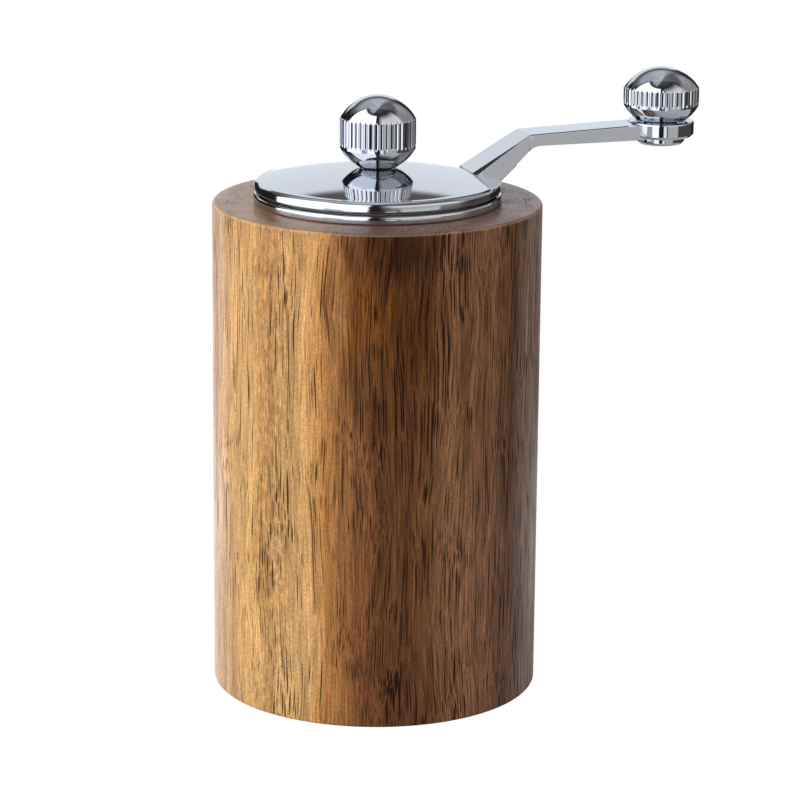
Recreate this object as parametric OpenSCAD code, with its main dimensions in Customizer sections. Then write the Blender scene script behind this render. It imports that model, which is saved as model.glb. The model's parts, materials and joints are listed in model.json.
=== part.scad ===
// Hand-cranked burr coffee grinder: a turned wooden barrel with a chrome crank on its cover.
// Millimetres. +Z is up, the origin is the centre of the base, and the crank arm rests along +X.

/* [Barrel] */
// Outside diameter of the wooden barrel
barrel_d = 60; // [58:0.5:64]
// Height of the wooden barrel
barrel_h = 90.7; // [88:0.1:90.7]
// Rounding of the barrel's outer edges
barrel_edge = 0.6; // [0.3:0.1:1]
// Diameter of the bean hopper bored down from the top
hopper_d = 38; // [37.9:0.1:38.2]
// Diameter of the bay bored up from the base for the grounds cup
bay_d = 46.8; // [46.6:0.1:47.2]
// Height of that bay, up to the shoulder that carries the burr set
bay_h = 36; // [36:1:36]

/* [Crank] */
// Outside diameter of the domed cover
cover_d = 44.9; // [44.5:0.1:45.4]
// Rise of the cover's dome from its rim to its middle
dome_rise = 2.25; // [1.5:0.05:2.6]
// Distance from the spindle axis to the handle axis
crank_l = 55.2; // [50:0.1:60]
// Distance from the spindle axis to the sharp bend in the arm
bend_x = 28.1; // [27:0.1:30]
// Width of the arm's top face on the slope
arm_w = 7.2; // [6:0.1:8]
// Width of the arm where it meets the eye
arm_tip_w = 6.4; // [5:0.1:7]

/* [Knobs] */
// Diameter of the adjuster knob on the spindle
adjuster_d = 13.8; // [13:0.1:15]
// Diameter of the handle knob on the arm
handle_d = 14; // [13:0.1:15]
// Number of reeds around each knob
reeds = 44; // [36:2:60]

/* [Burrs] */
// Largest radius of the cone burr
cone_r = 13.9; // [13.5:0.1:14]
// Radial gap between the burrs at the finest setting
burr_gap = 0.3; // [0.2:0.05:0.5]
// Grooves around the cone burr
cone_grooves = 20; // [12:2:28]
// Grooves around the ring burr
ring_grooves = 24; // [12:2:32]

/* [Hidden] */
$fn = 96;
eps = 0.01;
run = 0.05;               // clearance around what turns or slides
barrel_r = barrel_d / 2;
hopper_r = hopper_d / 2;
bay_r = bay_d / 2;

// Bezel: a flange on the barrel's top, a sleeve in it and a ledge for the bridge
sleeve_r = 21.3;          // outside of the sleeve, and the counterbore that it is pressed into
mouth_r = 20.1;           // inside of the sleeve
ledge_r = 16.5;
ledge_h = 2;
ledge_top = 84.5;
sleeve_z = ledge_top - ledge_h;
flange_r = 22.55;
flange_top = 92.3;

// Bridge across the bezel, and what turns in it
bridge_t = 1.5;
bridge_hub_r = 9;
bridge_arm_w = 5;
bridge_top = ledge_top + bridge_t;
bridge_arms = [90, 210, 330];
bridge_screw_r = 18.1;
bush_r = 6.5;
bush_flange_r = 7.7;
bush_low_z = 84;
bush_top = bridge_top + 1;
journal_r = 5;            // round outside of the drive sleeve
journal_low_z = 81.8;
clip_groove_z = 82.6;     // groove for the sleeve's retaining ring
clip_groove_h = 0.8;
clip_groove_r = 4.5;
sleeve_flange_r = 7;
hub_z = 88.5;             // underside of the cover's square-holed hub

// Spindle: square bar with a stud at each end
spindle_w = 6;
spindle_low_w = 5;        // the square that carries the cone burr
spindle_end = 28;
stud_low_z = 33.2;
cone_top = 49.2;
seat_t = 0.8;
shoulder_z = cone_top + seat_t;
square_top = 91.5;
thread_r = 2.5;
spindle_top = 106;
stud_low_r = 2;

// Burr set
housing_t = 3;
housing_z = bay_h - housing_t;
housing_r = hopper_r - 0.1;
throat_r = 13.5;          // where the housing's funnel meets the ring burr
funnel_r = 17.4;          // top of that funnel
ring_r = 16.5;
ring_top = 50;
ring_lead_h = 3;          // flared lead-in at the top of the ring burr
ring_land_h = 1.2;        // narrow land at its foot
carrier_z = 56;
carrier_top = 58.5;
carrier_arm_w = 3.5;
carrier_arms = [60, 180, 300];
guide_r = 5.8;
guide_z = 55;
ring_throat_r = 11.5;
cone_z = 33.1;
cone_land_z = 34.7;       // top of the cone burr's cylindrical land
cone_top_r = 6.8;
washer_t = 1;
nut_h = 3.2;
nut_flats = 7;
retainer_t = 1.2;
retainer_z = housing_z - retainer_t;
retainer_r = 19.1;
retainer_bore_r = 15;
retainer_arms = [for (a = carrier_arms) a + 60];
retainer_screw_r = 17.75;
retainer_screw_top = 40;
housing_screw_r = 21.2;
housing_screw_top = 46;

// Spring above the cone burr
spring_r = 5.4;
spring_wire = 0.45;
spring_turns = 4;
spring_sides = 8;
spring_steps = 24;
spring_gap = 0.02;
spring_z0 = shoulder_z + spring_wire + spring_gap;
spring_z1 = guide_z - spring_wire - spring_gap;

// Screws: radius of the head, height of the head, radius of the shank
bridge_screw = [1.6, 1.1, 0.8];
retainer_screw = [1.3, 1, 0.8];
hub_screw = [1.4, 1, 0.8];
cup_screw = [2.6, 1.3, 1];
slot_w = 0.4;             // width of the slots of a cross-recessed head

// Cover and arm
cover_r = cover_d / 2;
cover_z = 92.6;
cover_edge_r = 21;        // where the dome meets the rounded rim
cover_edge_z = 94.65;
cover_t = 1.6;
dome_top = cover_edge_z + dome_rise;
dome_r = (pow(cover_edge_r, 2) + pow(dome_rise, 2)) / (2 * dome_rise);
glide_r = 20.6;           // inside of the rim, which holds the glide ring
glide_bore_r = 19;
glide_lip = 0.4;          // thickness of the glide ring's lip inside the rim
glide_skirt = 2.2;        // its depth in the bezel's mouth
boss_r = 8.4;
boss_z = 92;
hub_r = 8;
hub_sink = 1.2;           // depth of the pockets for the hub's screw heads
hub_screw_r = 5.75;       // from the axis to the hub's screws
hub_screw_top = 94.2;
root_x = 17;              // chord where the arm's face leaves the dome
root_z = 95.5;
root_w = 9.2;
flat_z = 95.28;           // flats beside the arm's foot
flat_slope = 13;
flat_fall = 5.4;
bend_z = 101.95;
chamfer_tilt = 35;
eye_top = 102.9;
eye_z = 100;
eye_r = 6.2;
arm_under = 99.8;         // underside of the outer arm
web_z = 93.4;             // where the sloping underside leaves the rim, at web_x
web_x = 22;
web_slope = 41.2;
web_step_x = 25.4;        // small step part of the way up the slope
web_step = 0.3;
under_r = 3.5;            // curve from the slope into the outer arm's underside

// Knobs
reed_r = 0.27;
adjuster_z = 97;
adjuster_rise = 13.1;
insert_r = 3.2;
insert_h = 8.5;
handle_z = 103.4;
handle_rise = 9.5;
handle_bush_r = 2.8;
handle_bush_h = 5.1;
clip_room_r = 3.1;
clip_room_h = 2.3;
pin_head_z = 98.6;
pin_head_r = 4.5;
pin_r = 2;
pin_neck_r = 1.6;
pin_top = 110;
clip_z = 108.6;
clip_t = 0.6;

// Grounds cup
cup_z = 7;
cup_top = 32.5;
cup_r = 22.8;
cup_t = 0.6;
groove_z = 26;
groove_h = 3;
groove_jog = 0.9;
pull_r = 8;
pull_z = 1.5;
pull_screw_z = 3.3;

chrome = [0.82, 0.84, 0.87];
steel = [0.68, 0.69, 0.70];
brass_colour = [0.80, 0.65, 0.30];
bronze = [0.66, 0.46, 0.26];
black = [0.10, 0.10, 0.11];
white = [0.90, 0.89, 0.86];
wood = [0.52, 0.32, 0.16];

// ---- Shapes used by several pieces ----

// A ring from z0 up to z1
module ring(outer, inner, z0, z1) {
    translate([0, 0, z0])
        difference() {
            cylinder(r = outer, h = z1 - z0);
            translate([0, 0, -1]) cylinder(r = inner, h = z1 - z0 + 2);
        }
}

// A plain cylinder from z0 up to z1
module rod(r, z0, z1) {
    translate([0, 0, z0]) cylinder(r = r, h = z1 - z0);
}

// A square bar from z0 up to z1
module bar(w, z0, z1) {
    translate([-w / 2, -w / 2, z0]) cube([w, w, z1 - z0]);
}

// Copies of the children at the given angles, r from the axis
module at_angles(angles, r) {
    for (a = angles) rotate([0, 0, a]) translate([r, 0, 0]) children();
}

// Two crossed slots, l long and h deep, from the XY plane up
module cross_recess(l, h) {
    for (a = [0, 90]) rotate([0, 0, a]) translate([-l / 2, -slot_w / 2, 0]) cube([l, slot_w, h]);
}

// A pan-head screw along +Z: the head's underside is at z0 and the shank ends at z1, higher up
module screw_up(size, z0, z1) {
    head_r = size[0];
    head_h = size[1];
    shank_r = size[2];
    difference() {
        rotate_extrude()
            polygon([
                [0, z0 - head_h], [head_r * 0.7, z0 - head_h], [head_r, z0 - head_h * 0.4],
                [head_r, z0], [shank_r, z0], [shank_r, z1 - shank_r], [0, z1]
            ]);
        translate([0, 0, z0 - head_h - eps]) cross_recess(head_r * 1.2, head_h * 0.5);
    }
}

// The same screw the other way up, driven down from above
module screw_down(size, z0, z1) {
    translate([0, 0, z0]) mirror([0, 0, 1]) screw_up(size, 0, z0 - z1);
}

// ---- Pieces held in the barrel ----

// Turned from one block: hopper bored from the top, cup bay from the base
module wood_barrel() {
    color(wood)
    difference() {
        rotate_extrude()
            polygon([
                [0, 0], [barrel_r - barrel_edge, 0], [barrel_r, barrel_edge],
                [barrel_r, barrel_h - barrel_edge], [barrel_r - barrel_edge, barrel_h], [0, barrel_h]
            ]);
        rod(bay_r, -1, bay_h);
        rod(hopper_r, bay_h - 1, sleeve_z + 1);
        rod(sleeve_r, sleeve_z, barrel_h + 1);
        at_angles(carrier_arms, housing_screw_r) rod(1.05, bay_h - 1, housing_screw_top + 0.5);
    }
}

// Turned ring: its sleeve is pressed into the barrel and its ledge carries the bridge
module bezel_ring() {
    color(chrome)
    difference() {
        rotate_extrude()
            polygon([
                [ledge_r, sleeve_z], [sleeve_r - 0.4, sleeve_z], [sleeve_r, sleeve_z + 0.4],
                [sleeve_r, barrel_h], [flange_r - 0.3, barrel_h], [flange_r, barrel_h + 0.3],
                [flange_r, barrel_h + 0.9], [flange_r - 0.25, flange_top - 0.2], [flange_r - 0.7, flange_top],
                [mouth_r + 0.4, flange_top], [mouth_r, flange_top - 0.4],
                [mouth_r, ledge_top], [ledge_r, ledge_top]
            ]);
        at_angles(bridge_arms, bridge_screw_r) rod(0.85, sleeve_z - 1, ledge_top + 1);
    }
}

// Stamped spider that spans the mouth and lets the beans fall past its arms
module top_bridge() {
    color(steel)
    difference() {
        union() {
            rod(bridge_hub_r, ledge_top, bridge_top);
            intersection() {
                rod(mouth_r - 0.2, ledge_top, bridge_top);
                at_angles(bridge_arms, 0)
                    translate([0, -bridge_arm_w / 2, ledge_top]) cube([mouth_r, bridge_arm_w, bridge_t]);
            }
        }
        rod(bush_r, ledge_top - 1, bridge_top + 1);
        at_angles(bridge_arms, bridge_screw_r) rod(0.95, ledge_top - 1, bridge_top + 1);
    }
}

module bridge_screws() {
    color(steel)
    at_angles(bridge_arms, bridge_screw_r) screw_down(bridge_screw, bridge_top, sleeve_z + 0.2);
}

// Flanged bronze bush in the bridge
module top_bush() {
    color(bronze)
    difference() {
        union() {
            rod(bush_r, bush_low_z, bridge_top);
            rod(bush_flange_r, bridge_top, bush_top);
        }
        rod(journal_r + run, bush_low_z - 1, bush_top + 1);
    }
}

// Funnel that guides the beans down to the burrs, as the space it leaves
module funnel() {
    translate([0, 0, ring_top - eps])
        cylinder(r1 = throat_r, r2 = funnel_r, h = carrier_top - ring_top + 2 * eps);
}

// Moulded housing: a flange under the barrel's shoulder and a pocket for the ring burr
module burr_housing() {
    color(black)
    difference() {
        union() {
            rod(bay_r - 0.2, housing_z, bay_h);
            rod(housing_r, bay_h - eps, carrier_z);
        }
        rod(ring_r, housing_z - 1, ring_top);
        funnel();
        at_angles(carrier_arms, housing_screw_r) rod(1.15, housing_z - 1, bay_h + 1);
        at_angles(carrier_arms, housing_screw_r)
            translate([0, 0, housing_z - eps]) cylinder(r1 = 2, r2 = 1.15, h = 1.2);
        at_angles(retainer_arms, retainer_screw_r) rod(0.85, housing_z - 1, retainer_screw_top + 1);
    }
}

// Moulded spider on top of the housing: the beans fall past its arms, and its hub holds the guide
module spindle_carrier() {
    color(black)
    difference() {
        union() {
            difference() {
                rod(housing_r, carrier_z, carrier_top);
                funnel();
            }
            rod(guide_r + 1.6, carrier_z, carrier_top);
            at_angles(carrier_arms, 0)
                translate([guide_r, -carrier_arm_w / 2, carrier_z])
                    cube([hopper_r - 1.1 - guide_r, carrier_arm_w, carrier_top - carrier_z]);
        }
        rod(guide_r, carrier_z - 1, carrier_top + 1);
    }
}

// Countersunk wood screws up through the housing's flange into the barrel's shoulder
module housing_screws() {
    color(steel)
    at_angles(carrier_arms, housing_screw_r)
        difference() {
            rotate_extrude()
                polygon([
                    [0, housing_z], [1.95, housing_z], [1, housing_z + 1.1],
                    [1, housing_screw_top - 1], [0, housing_screw_top]
                ]);
            translate([0, 0, housing_z - eps]) cross_recess(2.2, 0.6);
        }
}

// Bush that the square spindle slides and turns in, above the burrs
module spindle_guide() {
    color(white)
    difference() {
        union() {
            rod(guide_r - 0.02, guide_z + 1, carrier_top);
            rod(guide_r + 1.2, guide_z, guide_z + 1);
        }
        rod(spindle_w * sqrt(2) / 2 + run, guide_z - 1, carrier_top + 1);
    }
}

// Grooves laid along a cone's side: the first end is at the bottom
module grooves(n, r0, z0, r1, z1, w, depth, lead) {
    slope = atan2(r1 - r0, z1 - z0);
    run_l = norm([r1 - r0, z1 - z0]);
    for (i = [0 : n - 1])
        rotate([0, 0, i * 360 / n])
            translate([r0, 0, z0])
                rotate([0, slope, 0])
                    rotate([lead, 0, 0])
                        translate([-depth, -w / 2, -2]) cube([2 * depth, w, run_l + 4]);
}

// Ring burr: its bore widens downwards, and the beans are cut between it and the cone
module ring_burr() {
    bore_r = cone_r + burr_gap;
    lead_z = ring_top - ring_lead_h;
    color(steel)
    difference() {
        rod(ring_r, housing_z, ring_top);
        translate([0, 0, housing_z - eps])
            cylinder(r1 = bore_r + 0.4, r2 = bore_r, h = ring_land_h);
        translate([0, 0, housing_z + ring_land_h - 2 * eps])
            cylinder(r1 = bore_r, r2 = ring_throat_r, h = lead_z - housing_z - ring_land_h + 3 * eps);
        translate([0, 0, lead_z])
            cylinder(r1 = ring_throat_r, r2 = throat_r, h = ring_lead_h + eps);
        grooves(ring_grooves, bore_r, housing_z, ring_throat_r, lead_z, 1, 0.8, 14);
    }
}

// Ring that keeps the ring burr up in its pocket
module burr_retainer() {
    color(steel)
    difference() {
        ring(retainer_r, retainer_bore_r, retainer_z, housing_z);
        at_angles(retainer_arms, retainer_screw_r) rod(0.9, retainer_z - 1, housing_z + 1);
    }
}

module retainer_screws() {
    color(steel)
    at_angles(retainer_arms, retainer_screw_r) screw_up(retainer_screw, retainer_z, retainer_screw_top);
}

// A point of the spring: step i along the wire, side j around it
function spring_point(i, j) =
    let (
        a = i * 360 / spring_steps,
        t = i / (spring_turns * spring_steps),
        b = j * 360 / spring_sides,
        r = spring_r + spring_wire * cos(b)
    )
    [r * cos(a), r * sin(a), spring_z0 + (spring_z1 - spring_z0) * t + spring_wire * sin(b)];

// Compression spring that pushes the cone burr down and the cover onto its seat
module burr_spring() {
    last = spring_turns * spring_steps;
    points = [for (i = [0 : last]) for (j = [0 : spring_sides - 1]) spring_point(i, j)];
    sides = [
        for (i = [0 : last - 1]) for (j = [0 : spring_sides - 1])
            let (k = (j + 1) % spring_sides)
            [for (q = [[i, j], [i, k], [i + 1, k], [i + 1, j]]) q[0] * spring_sides + q[1]]
    ];
    first_cap = [for (j = [spring_sides - 1 : -1 : 0]) j];
    last_cap = [for (j = [0 : spring_sides - 1]) last * spring_sides + j];
    color(steel) polyhedron(points = points, faces = concat(sides, [first_cap], [last_cap]));
}

// ---- Pieces that turn with the spindle ----

// Round outside to run in the bush, square inside to turn with the spindle as it slides
module drive_sleeve() {
    color(steel)
    difference() {
        union() {
            rod(journal_r, journal_low_z, bush_top + run);
            rod(sleeve_flange_r, bush_top + run, hub_z - 0.02);
        }
        bar(spindle_w + 2 * run, journal_low_z - 1, hub_z + 1);
        ring(journal_r + 1, clip_groove_r, clip_groove_z, clip_groove_z + clip_groove_h);
    }
}

// Retaining ring that keeps the sleeve in its bush with the crank off
module sleeve_clip() {
    color(steel)
    difference() {
        ring(6.3, clip_groove_r, clip_groove_z + run, clip_groove_z + clip_groove_h - run);
        translate([0, -1.5, clip_groove_z - 1]) cube([10, 3, 3]);
    }
}

module spindle() {
    color(steel)
    union() {
        rod(stud_low_r, spindle_end, stud_low_z + eps);
        bar(spindle_low_w, stud_low_z, shoulder_z + eps);
        bar(spindle_w, shoulder_z, square_top);
        rotate_extrude()
            polygon([
                [0, square_top - eps], [thread_r, square_top - eps], [thread_r, spindle_top - 0.6],
                [thread_r - 0.6, spindle_top], [0, spindle_top]
            ]);
    }
}

// Cone burr, with broad grooves that draw the beans in
module cone_burr() {
    color(steel)
    difference() {
        rotate_extrude()
            polygon([
                [0, cone_z], [cone_r - 1, cone_z], [cone_r, cone_z + 1], [cone_r, cone_land_z],
                [cone_top_r, cone_top], [0, cone_top]
            ]);
        bar(spindle_low_w + 0.04, cone_z - 1, cone_top + 1);
        grooves(cone_grooves, cone_r, cone_land_z, cone_top_r, cone_top, 1.1, 0.9, -16);
    }
}

module spring_seat() {
    color(steel) ring(6.5, spindle_low_w * sqrt(2) / 2 + 0.06, cone_top, shoulder_z);
}

module burr_washer() {
    color(steel) ring(5.5, stud_low_r + run, cone_z - washer_t, cone_z);
}

module burr_nut() {
    color(steel)
    translate([0, 0, cone_z - washer_t - nut_h])
        difference() {
            cylinder(d = nut_flats / cos(30), h = nut_h, $fn = 6);
            translate([0, 0, -1]) cylinder(r = stud_low_r + 0.03, h = nut_h + 2);
        }
}

// ---- The crank ----

// Solid of the cover's outer form, down by t inside its skin
module dome(t) {
    intersection() {
        rod(cover_r, cover_z - 1, dome_top + 1);
        translate([0, 0, dome_top - dome_r]) sphere(r = dome_r - t, $fn = 200);
    }
}

// Rim of the cover as a turned outline, closed towards the axis
module cover_rim() {
    steps = 6;
    rotate_extrude()
        polygon(concat(
            [[0, cover_z], [cover_r - 0.6, cover_z], [cover_r - 0.15, cover_z + 0.25]],
            [for (i = [0 : steps])
                let (a = i * 90 / steps)
                [
                    cover_edge_r + (cover_r - cover_edge_r) * cos(a),
                    cover_edge_z - 0.9 + 0.9 * sin(a)
                ]],
            [[0, cover_edge_z]]
        ));
}

// Side view of the arm, extruded across it, and cut to its plan
module arm() {
    step_z = web_z + (web_step_x - web_x) * tan(web_slope);
    turn_x = web_step_x + (arm_under - step_z - web_step) / tan(web_slope);
    head_x = crank_l - pin_head_r - 0.1;
    side = concat(
        [[root_x, web_z - 0.4], [web_x - 0.6, web_z - 0.4], [web_x, web_z], [web_step_x, step_z],
         [web_step_x + 0.1, step_z + web_step]],
        [for (i = [0 : 6])
            let (
                a = web_slope * (1 - i / 6),
                cx = turn_x + under_r * tan(web_slope / 2),
                cz = arm_under - under_r
            )
            [cx - under_r * sin(a), cz + under_r * cos(a)]],
        [[head_x, arm_under], [head_x, eye_z], [crank_l, eye_z]],
        [[crank_l, eye_top], [bend_x, bend_z], [root_x, root_z]]
    );
    intersection() {
        rotate([90, 0, 0]) translate([0, 0, -8]) linear_extrude(height = 16) polygon(side);
        translate([0, 0, 90])
            linear_extrude(height = 20)
                polygon([
                    [root_x - 1, -root_w / 2], [bend_x, -arm_w / 2], [crank_l, -arm_tip_w / 2],
                    [crank_l, arm_tip_w / 2], [bend_x, arm_w / 2], [root_x - 1, root_w / 2]
                ]);
    }
}

// Chamfer along one top edge of the sloping arm, which runs out at the bend
module arm_chamfer(side) {
    slope = atan2(bend_z - root_z, bend_x - root_x);
    run_out = atan2((root_w - arm_w) / 2, bend_x - root_x);
    translate([bend_x, side * arm_w / 2, bend_z])
        rotate([0, -slope, 0])
            rotate([-side * chamfer_tilt, 0, -side * run_out])
                translate([-16, side > 0 ? 0 : -6, 0]) cube([16, 6, 4]);
}

// Flat beside the arm's foot, cut into the dome beyond the chord
module foot_flat(side) {
    translate([root_x, side * root_w / 2, flat_z])
        rotate([-side * flat_fall, flat_slope, 0])
            translate([0, side > 0 ? -2 : -20, 0]) cube([10, 22, 5]);
}

// One casting: domed cover, rim, bent arm and eye
module crank_cover() {
    color(chrome)
    difference() {
        union() {
            difference() {
                union() {
                    cover_rim();
                    intersection() {
                        dome(0);
                        rod(cover_edge_r, cover_z, dome_top + 1);
                    }
                }
                foot_flat(1);
                foot_flat(-1);
            }
            difference() {
                arm();
                arm_chamfer(1);
                arm_chamfer(-1);
            }
            translate([crank_l, 0, 0]) eye();
            rod(boss_r, boss_z, cover_z + 1);
        }
        difference() {
            intersection() {
                dome(cover_t);
                rod(glide_r, cover_z - 1, dome_top);
            }
            rod(boss_r, boss_z, dome_top);
        }
        rod(thread_r + 0.3, boss_z - 1, dome_top + 1);
        translate([crank_l, 0, 0]) rod(pin_r, eye_z - 1, eye_top + 1);
        at_angles([0, 180], hub_screw_r) rod(0.85, boss_z - 1, hub_screw_top + 0.2);
    }
}

module eye() {
    rotate_extrude()
        polygon([
            [0, eye_z], [eye_r - 0.6, eye_z], [eye_r, eye_z + 0.6],
            [eye_r, eye_top - 0.2], [eye_r - 0.2, eye_top], [0, eye_top]
        ]);
}

// Square-holed disc screwed under the cover, which drives the spindle
module drive_hub() {
    color(steel)
    difference() {
        rod(hub_r, hub_z, boss_z);
        bar(spindle_w + 2 * run, hub_z - 1, boss_z + 1);
        at_angles([0, 180], hub_screw_r) rod(0.95, hub_z - 1, boss_z + 1);
        at_angles([0, 180], hub_screw_r) rod(1.55, hub_z - 1, hub_z + hub_sink);
    }
}

module hub_screws() {
    color(steel)
    at_angles([0, 180], hub_screw_r) screw_up(hub_screw, hub_z + hub_sink, hub_screw_top);
}

// Nylon ring in the cover's rim that runs in the bezel's mouth
module glide_ring() {
    color(white)
    difference() {
        union() {
            rod(glide_r, cover_z, cover_z + glide_lip);
            rod(mouth_r - run, cover_z - glide_skirt, cover_z + eps);
        }
        rod(glide_bore_r, cover_z - 4, cover_z + 3);
    }
}

// Rivet-like pin: its head shows below the eye and its shank carries the handle
module handle_pin() {
    color(chrome)
    translate([crank_l, 0, 0])
        rotate_extrude()
            polygon([
                [0, pin_head_z], [pin_head_r - 1.1, pin_head_z + 0.05], [pin_head_r - 0.3, pin_head_z + 0.4],
                [pin_head_r, pin_head_z + 0.9], [pin_head_r, eye_z], [pin_r, eye_z],
                [pin_r, clip_z - 0.02], [pin_neck_r, clip_z - 0.02],
                [pin_neck_r, clip_z + clip_t + 0.02], [pin_r, clip_z + clip_t + 0.02],
                [pin_r, pin_top - 0.4], [pin_r - 0.4, pin_top], [0, pin_top]
            ]);
}

module pin_washer() {
    color(steel) translate([crank_l, 0, 0]) ring(3.1, pin_r + 0.02, eye_top, eye_top + 0.4);
}

// Snap ring in the pin's groove that keeps the handle on
module pin_clip() {
    color(steel)
    translate([crank_l, 0, 0])
        difference() {
            ring(2.7, pin_neck_r, clip_z, clip_z + clip_t);
            translate([0, -0.8, clip_z - 1]) cube([5, 1.6, 3]);
        }
}

// ---- Knobs ----

// Outline of a reeded knob: foot, cone-like underside, straight band, dome. Heights are from the foot.
module knob_form(r, foot, under, band_0, band_1, rise) {
    steps = 12;
    dome_side = [for (i = [0 : steps])
        let (a = i * 90 / steps)
        [r * cos(a), band_1 + (rise - band_1) * sin(a)]];
    rotate_extrude() polygon(concat([[0, 0], [foot, 0]], under, [[r, band_0]], dome_side));
}

// Reeds pressed into a knob's band, which run out where the knob curves in
module reeding(r, z0, z1) {
    for (i = [0 : reeds - 1])
        rotate([0, 0, (i + 0.5) * 360 / reeds])
            translate([r + 0.02, 0, z0]) cylinder(r = reed_r, h = z1 - z0, $fn = 16);
}

module adjuster_knob() {
    color(chrome)
    translate([0, 0, adjuster_z])
        difference() {
            knob_form(adjuster_d / 2, 3.7, [[5.64, 1.7], [6.4, 2.6]], 3.4, 8.4, adjuster_rise);
            reeding(adjuster_d / 2, 2.9, 9);
            rod(insert_r, -1, insert_h);
            rod(thread_r + 0.25, insert_h - 1, spindle_top - adjuster_z + 1.3);
        }
}

// Threaded brass insert pressed up into the adjuster knob
module knob_insert() {
    color(brass_colour) ring(insert_r, thread_r + 0.03, adjuster_z + 0.2, adjuster_z + insert_h);
}

module handle_knob() {
    color(chrome)
    translate([crank_l, 0, handle_z])
        difference() {
            knob_form(handle_d / 2, 4.3, [[5.8, 1], [6.45, 1.8]], 2.7, 6.1, handle_rise);
            reeding(handle_d / 2, 2.1, 6.7);
            rod(handle_bush_r, -1, handle_bush_h);
            rod(clip_room_r, handle_bush_h - eps, handle_bush_h + clip_room_h);
        }
}

module handle_bush() {
    color(white)
    translate([crank_l, 0, handle_z]) ring(handle_bush_r, pin_r + run, 0, handle_bush_h);
}

// ---- Grounds cup ----

// Drawn steel cup with a rolled groove for its grip ring
module grounds_cup() {
    neck_r = cup_r - groove_jog;
    inner_r = cup_r - cup_t;
    groove_top = groove_z + groove_h;
    color(steel)
    difference() {
        rotate_extrude()
            polygon([
                [0, cup_z], [bay_r - 0.3, cup_z], [bay_r - 0.3, cup_z + cup_t], [cup_r, cup_z + cup_t],
                [cup_r, groove_z], [neck_r, groove_z], [neck_r, groove_top], [cup_r, groove_top],
                [cup_r, cup_top], [inner_r, cup_top], [inner_r, groove_top + cup_t],
                [neck_r - cup_t, groove_top + cup_t], [neck_r - cup_t, groove_z - cup_t],
                [inner_r, groove_z - cup_t], [inner_r, cup_z + cup_t], [0, cup_z + cup_t]
            ]);
        rod(1.55, cup_z - 1, cup_z + 2);
    }
}

// Silicone ring that grips the bay and holds the cup up
module cup_grip_ring() {
    mid_z = groove_z + groove_h / 2;
    root_r = cup_r - groove_jog + 0.02;
    color(black)
    rotate_extrude()
        polygon([
            [root_r, groove_z + 0.1], [cup_r, groove_z + 0.1], [bay_r - run, mid_z - 0.5],
            [bay_r - run, mid_z + 0.5], [cup_r, groove_z + groove_h - 0.1],
            [root_r, groove_z + groove_h - 0.1]
        ]);
}

// Turned pull in the recess under the cup
module cup_pull() {
    color(wood)
    difference() {
        rotate_extrude()
            polygon([
                [0, pull_z], [pull_r - 0.8, pull_z], [pull_r, pull_z + 0.8], [pull_r, pull_z + 2],
                [pull_r - 1.6, pull_z + 3.6], [pull_r - 1.6, cup_z], [0, cup_z]
            ]);
        rod(1.05, pull_z + 1.4, cup_z + 1);
    }
}

module pull_screw() {
    color(steel) screw_down(cup_screw, cup_z + cup_t, pull_screw_z);
}

wood_barrel();
bezel_ring();
top_bridge();
bridge_screws();
top_bush();
burr_housing();
housing_screws();
spindle_carrier();
spindle_guide();
ring_burr();
burr_retainer();
retainer_screws();
burr_spring();
drive_sleeve();
sleeve_clip();
spindle();
cone_burr();
spring_seat();
burr_washer();
burr_nut();
crank_cover();
drive_hub();
hub_screws();
glide_ring();
handle_pin();
pin_washer();
pin_clip();
handle_knob();
handle_bush();
adjuster_knob();
knob_insert();
grounds_cup();
cup_grip_ring();
cup_pull();
pull_screw();
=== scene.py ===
"""Dresses the coffee grinder: an oiled wooden barrel, a chrome crank and the mill inside.

The pieces' sizes are in millimetres until a mesh is made, in the CAD model's own frame.
"""

import json
import logging
import math
from collections.abc import Iterable, Sequence
from dataclasses import dataclass
from enum import Enum

import bmesh
import bpy
from bmesh.types import BMesh
from bpy.types import Material, Mesh, Node, NodeSocket as Socket, NodeTree as Tree, Object
from mathutils import Matrix, Vector


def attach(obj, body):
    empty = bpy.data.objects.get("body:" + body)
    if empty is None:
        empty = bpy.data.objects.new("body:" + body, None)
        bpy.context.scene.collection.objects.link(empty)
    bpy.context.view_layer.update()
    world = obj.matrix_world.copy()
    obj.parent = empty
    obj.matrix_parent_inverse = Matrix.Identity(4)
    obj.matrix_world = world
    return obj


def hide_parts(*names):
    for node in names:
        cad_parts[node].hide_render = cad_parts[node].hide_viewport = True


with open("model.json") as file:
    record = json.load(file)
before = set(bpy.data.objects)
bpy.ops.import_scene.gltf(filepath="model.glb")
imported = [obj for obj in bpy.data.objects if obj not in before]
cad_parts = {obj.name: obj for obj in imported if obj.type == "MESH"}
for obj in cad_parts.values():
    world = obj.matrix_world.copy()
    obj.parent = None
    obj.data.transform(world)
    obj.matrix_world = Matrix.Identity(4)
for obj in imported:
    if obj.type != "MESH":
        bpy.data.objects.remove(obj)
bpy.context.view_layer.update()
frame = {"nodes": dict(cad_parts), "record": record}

logging.basicConfig(level=logging.INFO, format="%(message)s")
log = logging.getLogger("grinder")

MM = 0.001
Point = tuple[float, float]
Place = tuple[float, float, float]
Corner = tuple[float, float, float]  # an outline's radius, height and fillet
Value = Socket | float | tuple  # what a node's input takes
MARKED: Point = (0.3, 0.7)  # the part of a noise from 0 to 1 that its marks fill
POLE = 1e-6  # a radius that counts as none
WELD = 1e-4  # a gap that is closed, in millimetres
FILLET_SHARE = 0.49  # the most of a side that one fillet takes
SMALL_ROUND = 128  # faces round a small turned piece
WHITE = (1, 1, 1, 1)


# ---- helpers


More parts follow.
